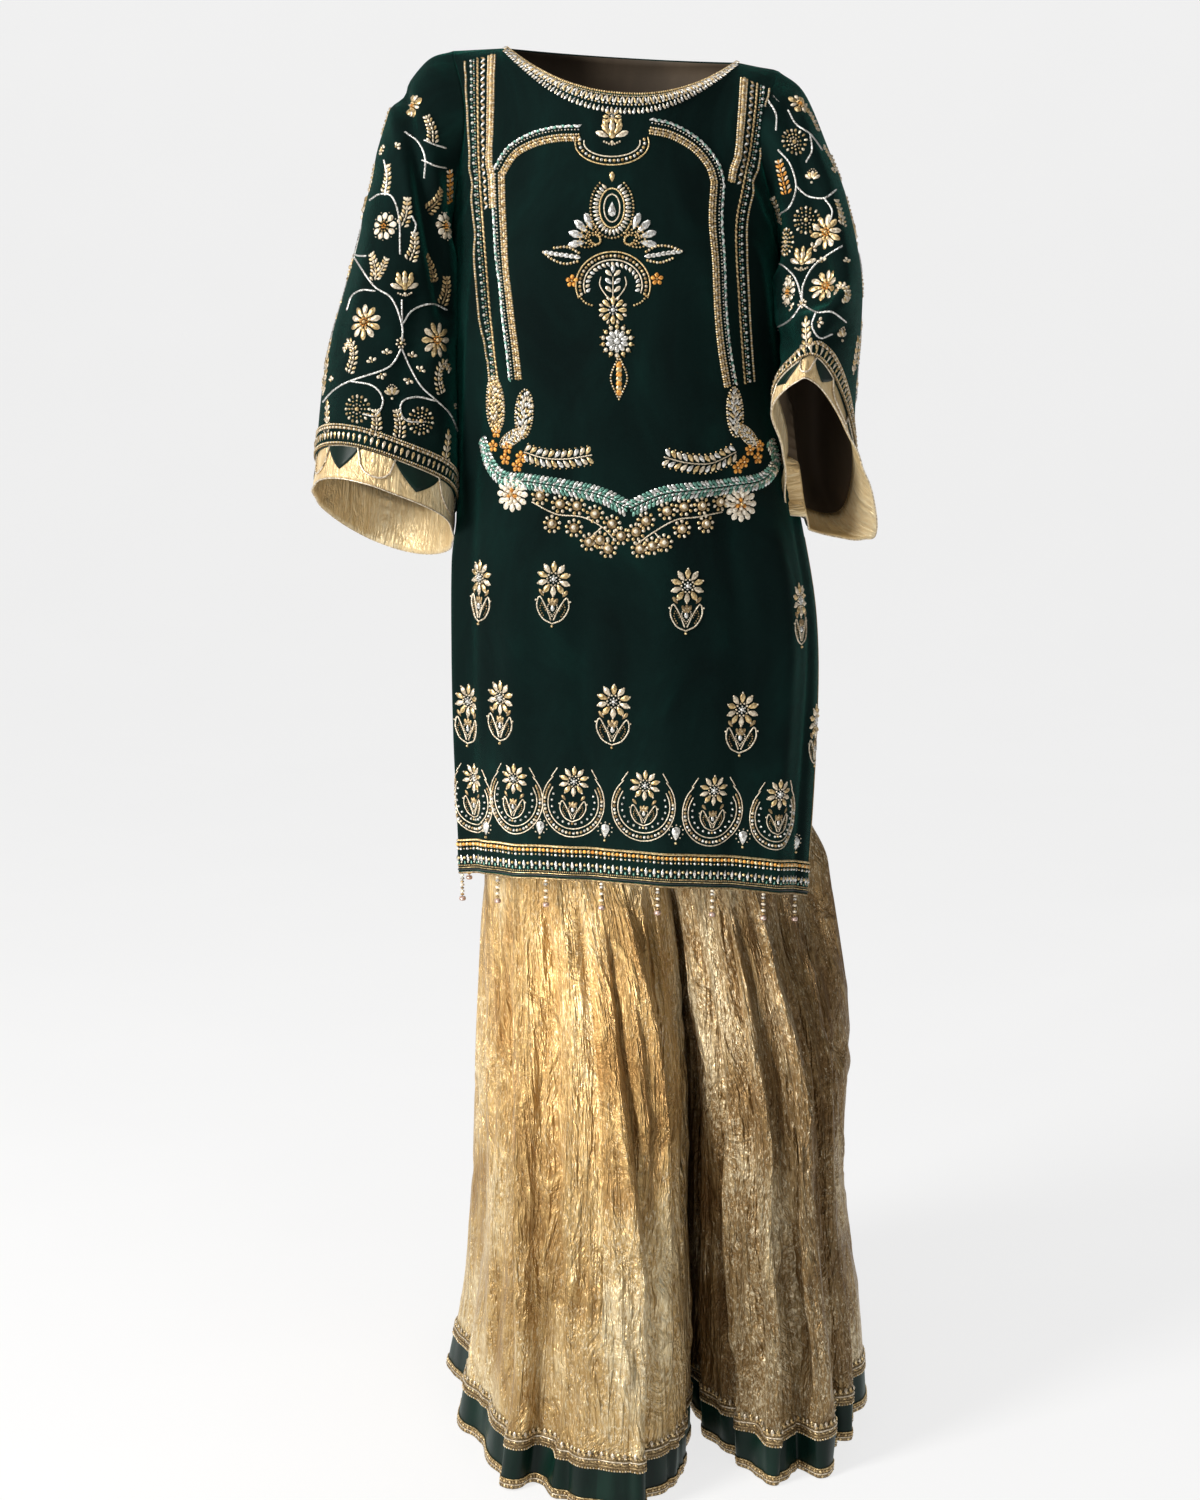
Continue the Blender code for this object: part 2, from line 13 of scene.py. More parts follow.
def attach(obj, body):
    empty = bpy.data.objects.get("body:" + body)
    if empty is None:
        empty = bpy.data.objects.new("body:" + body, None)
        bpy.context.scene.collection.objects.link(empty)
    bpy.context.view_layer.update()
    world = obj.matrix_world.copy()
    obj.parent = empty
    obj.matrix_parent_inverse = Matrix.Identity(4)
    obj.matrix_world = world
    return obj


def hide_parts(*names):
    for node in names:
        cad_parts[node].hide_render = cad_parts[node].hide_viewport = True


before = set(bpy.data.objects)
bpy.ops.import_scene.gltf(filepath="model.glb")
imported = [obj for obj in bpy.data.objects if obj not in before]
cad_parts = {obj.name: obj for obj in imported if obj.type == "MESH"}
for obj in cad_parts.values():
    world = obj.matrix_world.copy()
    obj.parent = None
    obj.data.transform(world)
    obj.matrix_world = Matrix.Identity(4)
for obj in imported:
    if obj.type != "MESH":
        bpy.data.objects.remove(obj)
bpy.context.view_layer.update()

# Driving sizes of the suit
KAMEEZ_LENGTH = 0.841
HEM_DROOP = 0.024
UNDERARM = -0.200
SLIT_TOP = -0.490
SHOULDER_TO_FLOOR = 1.465
CROTCH = -0.700
WAIST = -0.430
LEAN = 0.060  # the wearer's left shoulder and the kameez hem below it hang this much lower per metre

# Cloth
VELVET = 0.0018
TISSUE = 0.0015
TRIM = 0.0010
SEAM = 0.0003  # the room between two pieces, at its narrowest
SIDE_SEAM = 0.0001
SHOULDER_SEAM = 0.0003
ARMHOLE_SEAM = 0.0
TRIM_SEAM = 0.0006
NECK_BAND_SEAM = 0.0006

# How fine the walls are
FRONT_COLUMNS = 110
BACK_COLUMNS = 84
SKIRT_ROWS = 96
CHEST_SHARES = tuple(np.linspace(0, 1, 36))  # from the underarm up to the edge of the neck band
SLEEVE_COLUMNS = 120
LEG_COLUMNS = 288
YOKE_COLUMNS = 72

SIDES = {"right": -1, "left": 1}
FACINGS = {"front": -1, "back": 1}

# The body of the kameez, as sections across the wearer. Between underarm and hem
TORSO = {
    "columns": ("height", "centre_x", "half_width", "front", "back"),
    "rows": (
        (-0.900, 0.022, 0.188, 0.122, 0.126),
        (-0.720, 0.022, 0.194, 0.124, 0.124),
        (-0.560, 0.021, 0.192, 0.129, 0.119),
        (-0.420, 0.011, 0.177, 0.128, 0.101),
        (-0.280, 0.002, 0.170, 0.135, 0.102),
        (-0.200, 0.000, 0.168, 0.120, 0.106),
    ),
}
TORSO_ROUNDNESS = 2.2

# Neck and shoulder line. The tips are the outer ends of the shoulder seams
NECK_SHARE = 6 / 11
NECK_ROUNDNESS = 2.2
NECK = {
    "columns": ("facing", "half_width", "reach", "drop", "height"),
    "rows": ((-1, 0.118, 0.100, 0.044, -0.003), (1, 0.118, 0.078, -0.004, -0.003)),
}
NECK_CENTRE = 0.006
SHOULDER_TIP = (0.166, -0.009)
NECK_TRIES = 361  # steps over the shoulder in which the depth of the neck band is looked up

# How far round the body each armhole cuts into the front and back panels, in degrees
SCOOP = {("right", "front"): 30, ("left", "front"): 38, ("right", "back"): 26, ("left", "back"): 26}
SLIT_OPENING = {"right": 7, "left": 14}

# Sleeve rings from armhole to mouth. "top" is the outer side of the arm, "low" the side at the body,
# "rise" lifts the front of the ring and "turn" moves it away from the body
SLEEVE_COLUMN_NAMES = (
    "step", "top_out", "top_z", "low_out", "low_z", "front_y", "back_y", "rise", "turn",
)
SLEEVES = {
    "right": {
        "columns": SLEEVE_COLUMN_NAMES,
        "rows": (
            (0.0, 0.166, -0.006, 0.169, -0.200, -0.062, 0.062, 0.000, 0.000),
            (0.5, 0.194, -0.020, 0.172, -0.207, -0.068, 0.068, 0.000, 0.000),
            (1.0, 0.227, -0.066, 0.172, -0.226, -0.078, 0.078, 0.000, 0.000),
            (2.0, 0.251, -0.150, 0.172, -0.262, -0.086, 0.086, 0.004, 0.000),
            (3.0, 0.277, -0.240, 0.171, -0.318, -0.092, 0.090, 0.010, 0.000),
            (4.0, 0.301, -0.332, 0.170, -0.378, -0.099, 0.091, 0.022, 0.000),
            (5.0, 0.314, -0.434, 0.172, -0.472, -0.107, 0.087, 0.040, 0.000),
            (6.0, 0.319, -0.468, 0.174, -0.508, -0.116, 0.082, 0.042, 0.000),
        ),
    },
    "left": {
        "columns": SLEEVE_COLUMN_NAMES,
        "rows": (
            (0.0, 0.166, -0.006, 0.169, -0.200, -0.062, 0.062, 0.000, 0.000),
            (0.5, 0.193, -0.028, 0.172, -0.207, -0.070, 0.068, 0.000, 0.000),
            (1.0, 0.219, -0.085, 0.173, -0.226, -0.086, 0.080, 0.000, 0.000),
            (2.0, 0.241, -0.152, 0.175, -0.258, -0.106, 0.088, 0.010, 0.000),
            (3.0, 0.252, -0.230, 0.179, -0.305, -0.132, 0.088, 0.045, 0.000),
            (4.0, 0.248, -0.312, 0.183, -0.350, -0.150, 0.060, 0.092, -0.004),
            (5.0, 0.243, -0.372, 0.188, -0.383, -0.156, 0.010, 0.089, -0.026),
            (6.0, 0.251, -0.393, 0.206, -0.398, -0.160, -0.015, 0.085, -0.042),
        ),
    },
}
VELVET_END = 5.0
CUFF_BAND_STEPS = (4.7, VELVET_END)
FACING_STEPS = (4.76, 5.07, 5.66, 6.0)
ARMHOLE_BLEND = 1.6

# Points and scallops round each sleeve end
EDGING_REPEATS = 6

# Trousers: the hips inside the kameez, then each leg from the crotch to the floor
HIPS = {
    "columns": ("height", "centre_x", "half_width", "front", "back"),
    "rows": (
        (-0.700, 0.032, 0.163, 0.091, 0.100),
        (-0.620, 0.029, 0.162, 0.094, 0.102),
        (-0.520, 0.020, 0.155, 0.095, 0.090),
        (-0.430, 0.012, 0.140, 0.092, 0.078),
    ),
}
WAISTBAND_DEPTH = 0.040
LEG_COLUMN_NAMES = ("height", "outer", "inner", "front", "back", "skew", "roundness")
LEGS = {
    "right": {
        "columns": LEG_COLUMN_NAMES,
        "rows": (
            (-1.465, -0.180, 0.073, 0.276, 0.235, 0.12, 2.35),
            (-1.370, -0.166, 0.073, 0.258, 0.222, 0.12, 2.35),
            (-1.240, -0.153, 0.072, 0.224, 0.198, 0.12, 2.35),
            (-1.030, -0.146, 0.070, 0.150, 0.148, 0.12, 2.20),
            (-0.900, -0.143, 0.058, 0.102, 0.106, 0.08, 2.00),
            (-0.850, -0.142, 0.050, 0.094, 0.098, 0.05, 1.90),
            (-0.700, -0.131, 0.031, 0.091, 0.100, 0.00, 1.90),
        ),
    },
    "left": {
        "columns": LEG_COLUMN_NAMES,
        "rows": (
            (-1.465, 0.270, 0.080, 0.232, 0.235, 0.12, 2.20),
            (-1.370, 0.264, 0.080, 0.218, 0.222, 0.12, 2.20),
            (-1.240, 0.246, 0.079, 0.192, 0.198, 0.12, 2.20),
            (-1.030, 0.234, 0.077, 0.134, 0.148, 0.12, 2.10),
            (-0.900, 0.207, 0.066, 0.090, 0.094, 0.07, 1.85),
            (-0.850, 0.198, 0.059, 0.086, 0.092, 0.04, 1.80),
            (-0.700, 0.195, 0.033, 0.091, 0.100, 0.00, 1.80),
        ),
    },
}
LEG_HEIGHTS = (-0.7010, -0.770, -0.850, -0.930, -1.040, -1.160, -1.290, -1.410, -1.465)
OVAL_FROM = -0.850
CROTCH_GAP = 0.0008

# The large folds of each leg: where they lie round the leg (0 front, 90 outer, 180 back, 270 inner),
# how wide and how deep they are at the floor, and the height at which they begin
FOLDS = {
    "right": (
        (12, 11, -0.010, -0.95), (27, 9, -0.034, -0.90), (43, 10, 0.012, -0.90), (60, 9, -0.014, -0.80),
        (74, 9, 0.010, -0.88), (89, 9, -0.016, -0.85), (105, 10, 0.014, -0.88), (121, 9, -0.022, -0.80),
        (137, 10, 0.016, -0.88), (152, 9, -0.024, -0.75), (168, 10, 0.018, -0.88), (184, 9, -0.022, -0.85),
        (200, 10, 0.012, -0.88), (222, 10, -0.008, -0.90), (345, 11, 0.010, -0.95),
    ),
    "left": (
        (320, 9, -0.010, -0.85), (339, 9, 0.008, -0.88), (357, 9, -0.038, -0.85), (14, 9, 0.006, -0.88),
        (34, 24, -0.056, -0.80), (66, 11, -0.014, -0.80), (90, 13, 0.012, -0.88), (110, 9, -0.020, -0.80),
        (127, 10, 0.014, -0.88), (143, 9, -0.024, -0.85), (159, 10, 0.018, -0.88), (176, 9, -0.022, -0.80),
        (193, 10, 0.014, -0.88), (212, 10, -0.010, -0.80),
    ),
}
# A flute of the left leg pokes out through the side slit of the kameez
SLIT_FLUTE = {"side": "left", "angle": 90, "spread": 7, "depth": 0.034, "from": -0.74, "full": -0.85}
FLUTE_FADES = -1.25
FOLD_GROWTH = 0.8  # folds deepen quickly at first, then more slowly towards the floor

SATIN_DEPTH = 0.055
UPPER_LACE = 0.015
LOWER_LACE = 0.010

HEM_BORDER = 0.034
NECK_BAND = 0.020
TASSELS = {"front": 8, "back": 8}
TASSEL_SPAN = (0.06, 0.94)  # of the hem's width
TASSEL_LENGTH = 0.030


def read(table, name, at):
    """One column of a table, read smoothly at the keys in its first column."""
    rows = np.array(sorted(table["rows"]), float)
    keys = rows[:, 0]
    values = rows[:, table["columns"].index(name)]
    slopes = np.gradient(values, keys)
    at = np.clip(np.asarray(at, float), keys[0], keys[-1])
    low = np.clip(np.searchsorted(keys, at) - 1, 0, len(keys) - 2)
    width = keys[low + 1] - keys[low]
    share = (at - keys[low]) / width
    rest = 1 - share
    return (
        values[low] * (1 + 2 * share) * rest**2
        + values[low + 1] * (3 - 2 * share) * share**2
        + width * share * rest * (slopes[low] * rest - slopes[low + 1] * share)
    )


def ease(value):
    value = np.clip(value, 0, 1)
    return value * value * (3 - 2 * value)


def signed_power(value, power):
    return np.sign(value) * np.abs(value) ** power


def lean(points):
    points[..., 2] -= LEAN * points[..., 0]
    return points


def torso_section(facing, angle, height):
    """Points of the kameez body; angle runs from the panel's middle towards +X, in radians."""
    power = 2 / TORSO_ROUNDNESS
    depth = read(TORSO, facing, height)
    out = read(TORSO, "half_width", height) * signed_power(np.sin(angle), power)
    x = read(TORSO, "centre_x", height) + out
    y = FACINGS[facing] * (SIDE_SEAM / 2 + depth * np.abs(np.cos(angle)) ** power)
    return np.stack(np.broadcast_arrays(x, y, height), axis=-1)


def hem_height(across):
    return -KAMEEZ_LENGTH - HEM_DROOP * across**2


def skirt_rows(facing, across, shares):
    """Rows of a kameez panel from the hem, share 0, to the underarm, share 1."""
    across, shares = np.meshgrid(across, shares)
    height = hem_height(across) * (1 - shares) + UNDERARM * shares
    opened = ease((SLIT_TOP - height) / (SLIT_TOP + KAMEEZ_LENGTH))
    opening = np.where(across < 0, SLIT_OPENING["right"], SLIT_OPENING["left"])
    widest = np.radians(90 - opening * opened)
    return torso_section(facing, across * widest, height)


def top_line(facing, across):
    """The neckline and the two shoulder seams of a panel."""
    row = dict(zip(NECK["columns"], [r for r in NECK["rows"] if r[0] == FACINGS[facing]][0]))
    neck = np.clip(across / NECK_SHARE, -1, 1)
    scooped = 1 - np.abs(neck) ** NECK_ROUNDNESS
    slope = np.clip((np.abs(across) - NECK_SHARE) / (1 - NECK_SHARE), 0, 1)
    tip_out, tip_z = SHOULDER_TIP
    end = NECK_CENTRE + row["half_width"] * neck
    x = end + slope * (np.sign(across) * tip_out - end)
    y = FACINGS[facing] * (SHOULDER_SEAM / 2 + row["reach"] * scooped)
    z = row["height"] - row["drop"] * scooped + slope * (tip_z - row["height"])
    return np.stack([x, y, z], axis=-1)


def chest_points(facing, across, rises):
    """A kameez panel from the underarm, rise 0, over the shoulder to its top line, rise 90 degrees."""
    top = top_line(facing, across)[None]
    rises = np.radians(rises)
    across = np.broadcast_to(across, rises.shape)
    scoop = np.where(across < 0, SCOOP["right", facing], SCOOP["left", facing])
    widest = np.radians(90 - scoop * np.sin(2 * rises))
    base = torso_section(facing, across * widest, np.full(across.shape, UNDERARM))
    upright = np.sin(rises)[..., None]
    level = np.cos(rises)[..., None]
    points = top + (base - top) * level
    points[..., 2:] = base[..., 2:] + (top - base)[..., 2:] * upright
    return points


def chest_rows(facing, across):
    """Rows of the chest; the last three are the edge, the middle and the top of the neck band."""
    tries = np.broadcast_to(np.linspace(90, 0, NECK_TRIES)[:, None], (NECK_TRIES, len(across)))
    steps = np.linalg.norm(np.diff(chest_points(facing, across, tries), axis=0), axis=-1)
    fallen = np.concatenate([np.zeros((1, len(across))), steps.cumsum(axis=0)])
    edge, middle = [
        np.array([np.interp(distance, fallen[:, one], tries[:, one]) for one in range(len(across))])
        for distance in (NECK_BAND, NECK_BAND / 2)
    ]
    rises = [edge * share for share in CHEST_SHARES] + [middle, np.full(len(across), 90.0)]
    return chest_points(facing, across, np.array(rises))


def panel(facing, across, skirt_shares):
    return lean(np.concatenate([skirt_rows(facing, across, skirt_shares), chest_rows(facing, across)[1:]]))


def armhole(side, facing):
    """The armhole edge of one panel, from the underarm up to the shoulder tip."""
    return lean(chest_rows(facing, np.array([float(SIDES[side])])))[:, 0]


def looked_up(at, keys, values):
    """Rows of values at places between the keys."""
    return np.stack([np.interp(at, keys, values[:, axis]) for axis in range(values.shape[1])], axis=-1)


def distances(line):
    """How far each point of a line lies from its start, measured along it."""
    return np.concatenate([[0], np.linalg.norm(np.diff(line, axis=0), axis=1).cumsum()])


def along(line, shares):
    """Points on a polyline whose corners are evenly spaced in share."""
    return looked_up(shares, np.linspace(0, 1, len(line)), line)


def armhole_ring(side, turns):
    """The whole armhole, at turns round the sleeve: 0 shoulder tip, 90 front, 180 underarm, 270 back."""
    front = along(armhole(side, "front"), np.clip(1 - turns / 180, 0, 1))
    back = along(armhole(side, "back"), np.clip(turns / 180 - 1, 0, 1))
    ring = np.where((turns <= 180)[:, None], front, back)
    ring[:, 0] += SIDES[side] * ARMHOLE_SEAM
    return ring


def sleeve_rings(side, steps, turns):
    """Rings at the given steps, or rows of points if each turn has a step of its own."""
    table = SLEEVES[side]
    steps = np.asarray(steps, float)
    steps = steps[:, None] if steps.ndim == 1 else steps
    turn = np.radians(turns)[None]
    value = {name: read(table, name, steps) for name in SLEEVE_COLUMN_NAMES[1:]}
    middle_out = (value["top_out"] + value["low_out"]) / 2
    middle_y = (value["front_y"] + value["back_y"]) / 2
    middle_z = (value["top_z"] + value["low_z"]) / 2
    half_out = (value["top_out"] - value["low_out"]) / 2
    out = middle_out + np.cos(turn) * half_out + np.sin(turn) * value["turn"]
    y = middle_y + np.sin(turn) * (value["front_y"] - value["back_y"]) / 2
    z = middle_z + np.cos(turn) * (value["top_z"] - value["low_z"]) / 2 + np.sin(turn) * value["rise"]
    return lean(np.stack([SIDES[side] * out, y, z], axis=-1))


def sleeve(side, steps, turns):
    """Rings of a sleeve; near the armhole they take the armhole's own shape."""
    rings = sleeve_rings(side, steps, turns)
    off = armhole_ring(side, turns) - sleeve_rings(side, [0.0], turns)[0]
    steps = np.asarray(steps, float)
    steps = steps[:, None] if steps.ndim == 1 else steps
    share = np.clip(1 - steps / ARMHOLE_BLEND, 0, 1) ** 2
    return rings + share[..., None] * off


def hip_rings(heights, angles):
    heights = np.asarray(heights, float)[:, None]
    angles = np.radians(angles)[None]
    depth = np.where(np.cos(angles) > 0, read(HIPS, "front", heights), read(HIPS, "back", heights))
    x = read(HIPS, "centre_x", heights) + read(HIPS, "half_width", heights) * np.sin(angles)
    y = -depth * np.cos(angles)
    return np.stack(np.broadcast_arrays(x, y, heights), axis=-1)


def fold_depth(side, heights, angles):
    """How far the large folds push the leg's wall out, in metres."""
    total = 0.0
    for angle, spread, depth, begins in FOLDS[side]:
        apart = (angles - angle + 180) % 360 - 180
        grown = np.clip((begins - heights) / (begins + SHOULDER_TO_FLOOR), 0, 1) ** FOLD_GROWTH
        total = total + depth * grown * np.exp(-((apart / spread) ** 2))
    if side == SLIT_FLUTE["side"]:
        apart = angles - SLIT_FLUTE["angle"]
        grown = ease((SLIT_FLUTE["from"] - heights) / (SLIT_FLUTE["from"] - SLIT_FLUTE["full"]))
        faded = ease((heights - FLUTE_FADES) / (SLIT_FLUTE["full"] - FLUTE_FADES))
        total = total + SLIT_FLUTE["depth"] * grown * faded * np.exp(-((apart / SLIT_FLUTE["spread"]) ** 2))
    return total


def leg_rings(side, heights, angles):
    """Rings of a trouser leg: half of the hips at the crotch, a folded oval below."""
    heights = np.asarray(heights, float)[:, None]
    angles = np.asarray(angles, float)[None]
    turn = np.radians(angles)
    table = LEGS[side]
    value = {name: read(table, name, heights) for name in LEG_COLUMN_NAMES[1:]}
    depth = np.where(np.cos(turn) > 0, value["front"], value["back"])
    power = 2 / value["roundness"]
    centre_x = (value["outer"] + value["inner"]) / 2
    oval_x = centre_x + (value["outer"] - value["inner"]) / 2 * signed_power(np.sin(turn), power)
    oval_y = -depth * signed_power(np.cos(turn), power)
    hips_x = read(HIPS, "centre_x", CROTCH)
    half = read(HIPS, "half_width", CROTCH) - CROTCH_GAP
    half_x = hips_x + SIDES[side] * (CROTCH_GAP + half * np.clip(np.sin(turn), 0, 1))
    half_y = -depth * np.cos(turn)
    share = ease((LEG_HEIGHTS[0] - heights) / (LEG_HEIGHTS[0] - OVAL_FROM))
    x = half_x * (1 - share) + oval_x * share
    y = half_y * (1 - share) + oval_y * share
    x = x - value["skew"] * y
    push = fold_depth(side, heights, angles) * share
    reach = np.hypot(x - centre_x, y)
    x = x + push * (x - centre_x) / reach
    y = y + push * y / reach
    return np.stack(np.broadcast_arrays(x, y, heights), axis=-1)


def normals(grid, ring, flip):
    """Outward unit normals of a grid of points, whose columns close into a ring if ring is true."""
    down = np.gradient(grid, axis=0)
    if ring:
        across = np.roll(grid, -1, axis=1) - np.roll(grid, 1, axis=1)
    else:
        across = np.gradient(grid, axis=1)
    out = np.cross(across, down)
    out /= np.linalg.norm(out, axis=-1, keepdims=True)
    return -out if flip else out


def raised(grid, ring, flip, height):
    """The same points moved out, for a piece that lies on this one."""
    return grid + height * normals(grid, ring, flip)


# The camera of the photo, in pixels of its 1200 x 1500 frame
FRAME_WIDTH = 1200
FRAME_HEIGHT = 1500
FOCAL = 2460
SENSOR = 36
CAMERA = Vector((-0.0163, -2.60, -0.212))
CAMERA_DOWN = 11.18

MM = 0.001
CURVE_STEPS = 24  # between two given points of a smooth curve


def ray(pixel, behind=False):
    """Start and direction of the sight line through a pixel; behind has it mirrored to the back."""
    tilt = np.radians(CAMERA_DOWN)
    right = (pixel[0] - FRAME_WIDTH / 2) / FOCAL
    up = (FRAME_HEIGHT / 2 - pixel[1]) / FOCAL
    y = np.cos(tilt) + up * np.sin(tilt)
    z = up * np.cos(tilt) - np.sin(tilt)
    start = CAMERA.copy()
    if behind:
        start.y = -start.y
        y = -y
    return start, Vector((right, y, z)).normalized()


def pixels_of(points):
    """Where points of the suit are seen in the photo's frame."""
    tilt = np.radians(CAMERA_DOWN)
    away = points - np.array(CAMERA)
    depth = away[..., 1] * np.cos(tilt) - away[..., 2] * np.sin(tilt)
    up = away[..., 2] * np.cos(tilt) + away[..., 1] * np.sin(tilt)
    across = FRAME_WIDTH / 2 + FOCAL * away[..., 0] / depth
    down = FRAME_HEIGHT / 2 - FOCAL * up / depth
    return np.stack([across, down], axis=-1)


def smooth_path(points, step):
    """Points at even steps along a smooth curve through the given ones."""
    points = np.array(points, float)
    ends = np.concatenate([points[:1] * 2 - points[1:2], points, points[-1:] * 2 - points[-2:-1]])
    dense = []
    for first, second, third, fourth in zip(ends, ends[1:], ends[2:], ends[3:]):
        for share in np.linspace(0, 1, CURVE_STEPS, endpoint=False):
            square = share * share
            cube = square * share
            dense.append(
                0.5
                * (
                    2 * second
                    + (third - first) * share
                    + (2 * first - 5 * second + 4 * third - fourth) * square
                    + (3 * second - first - 3 * third + fourth) * cube
                )
            )
    dense.append(points[-1])
    return even_steps(np.array(dense), step)


def even_steps(line, step):
    total = distances(line)
    count = max(int(round(total[-1] / step)), 1)
    return looked_up(np.linspace(0, total[-1], count + 1), total, line)


def add_object(name, data):
    obj = bpy.data.objects.new(name, data)
    bpy.context.scene.collection.objects.link(obj)
    return obj


# Materials, one per finish


class Shader:
    """A Principled material and short ways to add nodes to it."""

    def __init__(self, name):
        self.material = bpy.data.materials.new(name)
        self.material.use_nodes = True
        self.nodes = self.material.node_tree.nodes
        self.links = self.material.node_tree.links
        self.main = self.nodes["Principled BSDF"]

    def set(self, **values):
        for name, value in values.items():
            self.main.inputs[name.replace("_", " ")].default_value = value
        return self

    def node(self, kind, inputs=(), **settings):
        made = self.nodes.new(kind)
        for name, value in settings.items():
            setattr(made, name, value)
        for name, value in dict(inputs).items():
            if isinstance(value, bpy.types.NodeSocket):
                self.links.new(value, made.inputs[name])
            else:
                made.inputs[name].default_value = value
        return made

    def cloth_place(self, across, along):
        """Cloth coordinates in metres, scaled across and along the grain."""
        place = self.node("ShaderNodeUVMap", uv_map="cloth")
        return self.node(
            "ShaderNodeMapping", {"Vector": place.outputs[0], "Scale": (across, along, 1)}
        ).outputs[0]

    def noise(self, place, scale, detail=3, roughness=0.55, distortion=0.0):
        values = {"Vector": place, "Scale": scale, "Detail": detail, "Roughness": roughness}
        values["Distortion"] = distortion
        return self.node("ShaderNodeTexNoise", values).outputs[0]

    def ramp(self, value, stops):
        made = self.node("ShaderNodeValToRGB", {"Fac": value})
        elements = made.color_ramp.elements
        while len(elements) < len(stops):
            elements.new(0.5)
        for element, (position, colour) in zip(elements, stops):
            element.position = position
            element.color = (*colour, 1)
        return made.outputs[0]

    def sum(self, first, second, share):
        """first + second * share"""
        made = self.node("ShaderNodeMath", operation="MULTIPLY_ADD")
        self.links.new(second, made.inputs[0])
        made.inputs[1].default_value = share
        self.links.new(first, made.inputs[2])
        return made.outputs[0]

    def creases(self, value, sharp):
        """0 along crease lines where the noise crosses its middle, rising to 1 between them."""
        off = self.node("ShaderNodeMath", {0: value, 1: 0.5}, operation="SUBTRACT").outputs[0]
        size = self.node("ShaderNodeMath", {0: off}, operation="ABSOLUTE").outputs[0]
        return self.clamped_product(size, sharp)

    def clamped_product(self, value, factor):
        made = self.node("ShaderNodeMath", {0: value, 1: factor}, operation="MULTIPLY", use_clamp=True)
        return made.outputs[0]

    def spread(self, value, low, high):
        """0 where the value is low and 1 where it is high."""
        return self.node("ShaderNodeMapRange", {"Value": value, "From Min": low, "From Max": high}).outputs[0]

    def mix(self, share, first, second):
        made = self.nodes.new("ShaderNodeMix")
        made.data_type = "RGBA"
        self.links.new(share, made.inputs[0])
        self.links.new(first, made.inputs[6])
        made.inputs[7].default_value = (*second, 1)
        return made.outputs[2]

    def bump(self, height, strength, distance):
        made = self.node("ShaderNodeBump", {"Strength": strength, "Distance": distance, "Height": height})
        self.links.new(made.outputs[0], self.main.inputs["Normal"])
        return self

    def colour(self, socket):
        self.links.new(socket, self.main.inputs["Base Color"])
        return self

    def roughness(self, socket, low, high):
        made = self.node("ShaderNodeMapRange", {"Value": socket, "To Min": low, "To Max": high})
        self.links.new(made.outputs[0], self.main.inputs["Roughness"])
        return self


def make_velvet():
    shader = Shader("velvet")
    place = shader.cloth_place(1, 0.45)
    brushed = shader.noise(place, 14, 4, 0.6, 0.6)
    pile = shader.noise(shader.cloth_place(1, 1), 1500, 2)
    deep = (0.0012, 0.0062, 0.0055)
    green = (0.0018, 0.0105, 0.0090)
    brushed_up = (0.0028, 0.0190, 0.0155)
    shader.colour(shader.ramp(brushed, [(0.32, deep), (0.55, green), (0.75, brushed_up)]))
    shader.set(Roughness=0.75, Specular_IOR_Level=0.06)
    shader.set(Sheen_Weight=0.60, Sheen_Roughness=0.22, Sheen_Tint=(0.02, 0.26, 0.19, 1))
    return shader.bump(shader.sum(pile, brushed, 3.0), 0.55, 0.0016).material


# Creases of the tissue, fine, broad and across, which shape the bump and darken the colour along them as
# painted shade: stretch along the grain, scale, detail, roughness, distortion and sharpness
TISSUE_CREASES = ((0.08, 105, 3, 0.55, 1.0, 6.0), (0.13, 34, 4, 0.6, 1.8, 5.0), (0.45, 26, 4, 0.6, 1.6, 7.0))
TISSUE_RELIEF = 0.0042


def make_tissue(name, dark, middle, light, painted_glint, metallic, crush=1.0):
    """Crushed metallic tissue: sharp crease lines, broad patches, painted crease shade and pale painted
    glints.
    """
    shader = Shader(name)
    fine, broad, cross = (
        shader.creases(shader.noise(shader.cloth_place(1, stretch), *grain), sharp)
        for stretch, *grain, sharp in TISSUE_CREASES
    )
    patches = shader.noise(shader.cloth_place(1, 0.6), 7, 3, 0.5, 0.8)
    flecks = shader.noise(shader.cloth_place(1, 0.35), 460, 4, 0.8, 1.0)
    # Random patches plus the crease masks: the colour runs dark along crease lines and pale between them,
    # painted shade and light of the crinkles
    patches_and_crease_shade = shader.sum(shader.sum(shader.sum(patches, fine, 0.10), broad, 0.16), cross, 0.14)
    base = shader.ramp(shader.spread(patches_and_crease_shade, 0.42, 0.98), [(0.0, dark), (0.5, middle), (1.0, light)])
    # Pale painted glints of the metal threads, mixed into the colour
    painted_glints = shader.spread(shader.sum(flecks, patches, 0.45), 0.75, 0.90)
    shader.colour(shader.mix(shader.clamped_product(painted_glints, 0.75), base, painted_glint))
    shader.roughness(flecks, 0.22, 0.48)
    shader.set(Metallic=metallic, Specular_IOR_Level=0.26)
    height = shader.sum(shader.sum(shader.sum(broad, fine, 0.36), cross, 0.75), flecks, 0.08)
    return shader.bump(height, 1.0, TISSUE_RELIEF * crush).material


def make_satin():
    shader = Shader("satin")
    place = shader.cloth_place(1, 0.5)
    soft = shader.noise(place, 22, 3, 0.5, 0.5)
    weave = shader.noise(shader.cloth_place(0.15, 1), 2400, 1)
    shader.colour(shader.ramp(soft, [(0.35, (0.0011, 0.0088, 0.0060)), (0.7, (0.0032, 0.022, 0.0142))]))
    shader.roughness(soft, 0.34, 0.50)
    shader.set(Specular_IOR_Level=0.22)
    shader.set(Sheen_Weight=0.08, Sheen_Roughness=0.3, Sheen_Tint=(0.1, 0.8, 0.55, 1))
    return shader.bump(shader.sum(soft, weave, 0.08), 0.4, 0.002).material


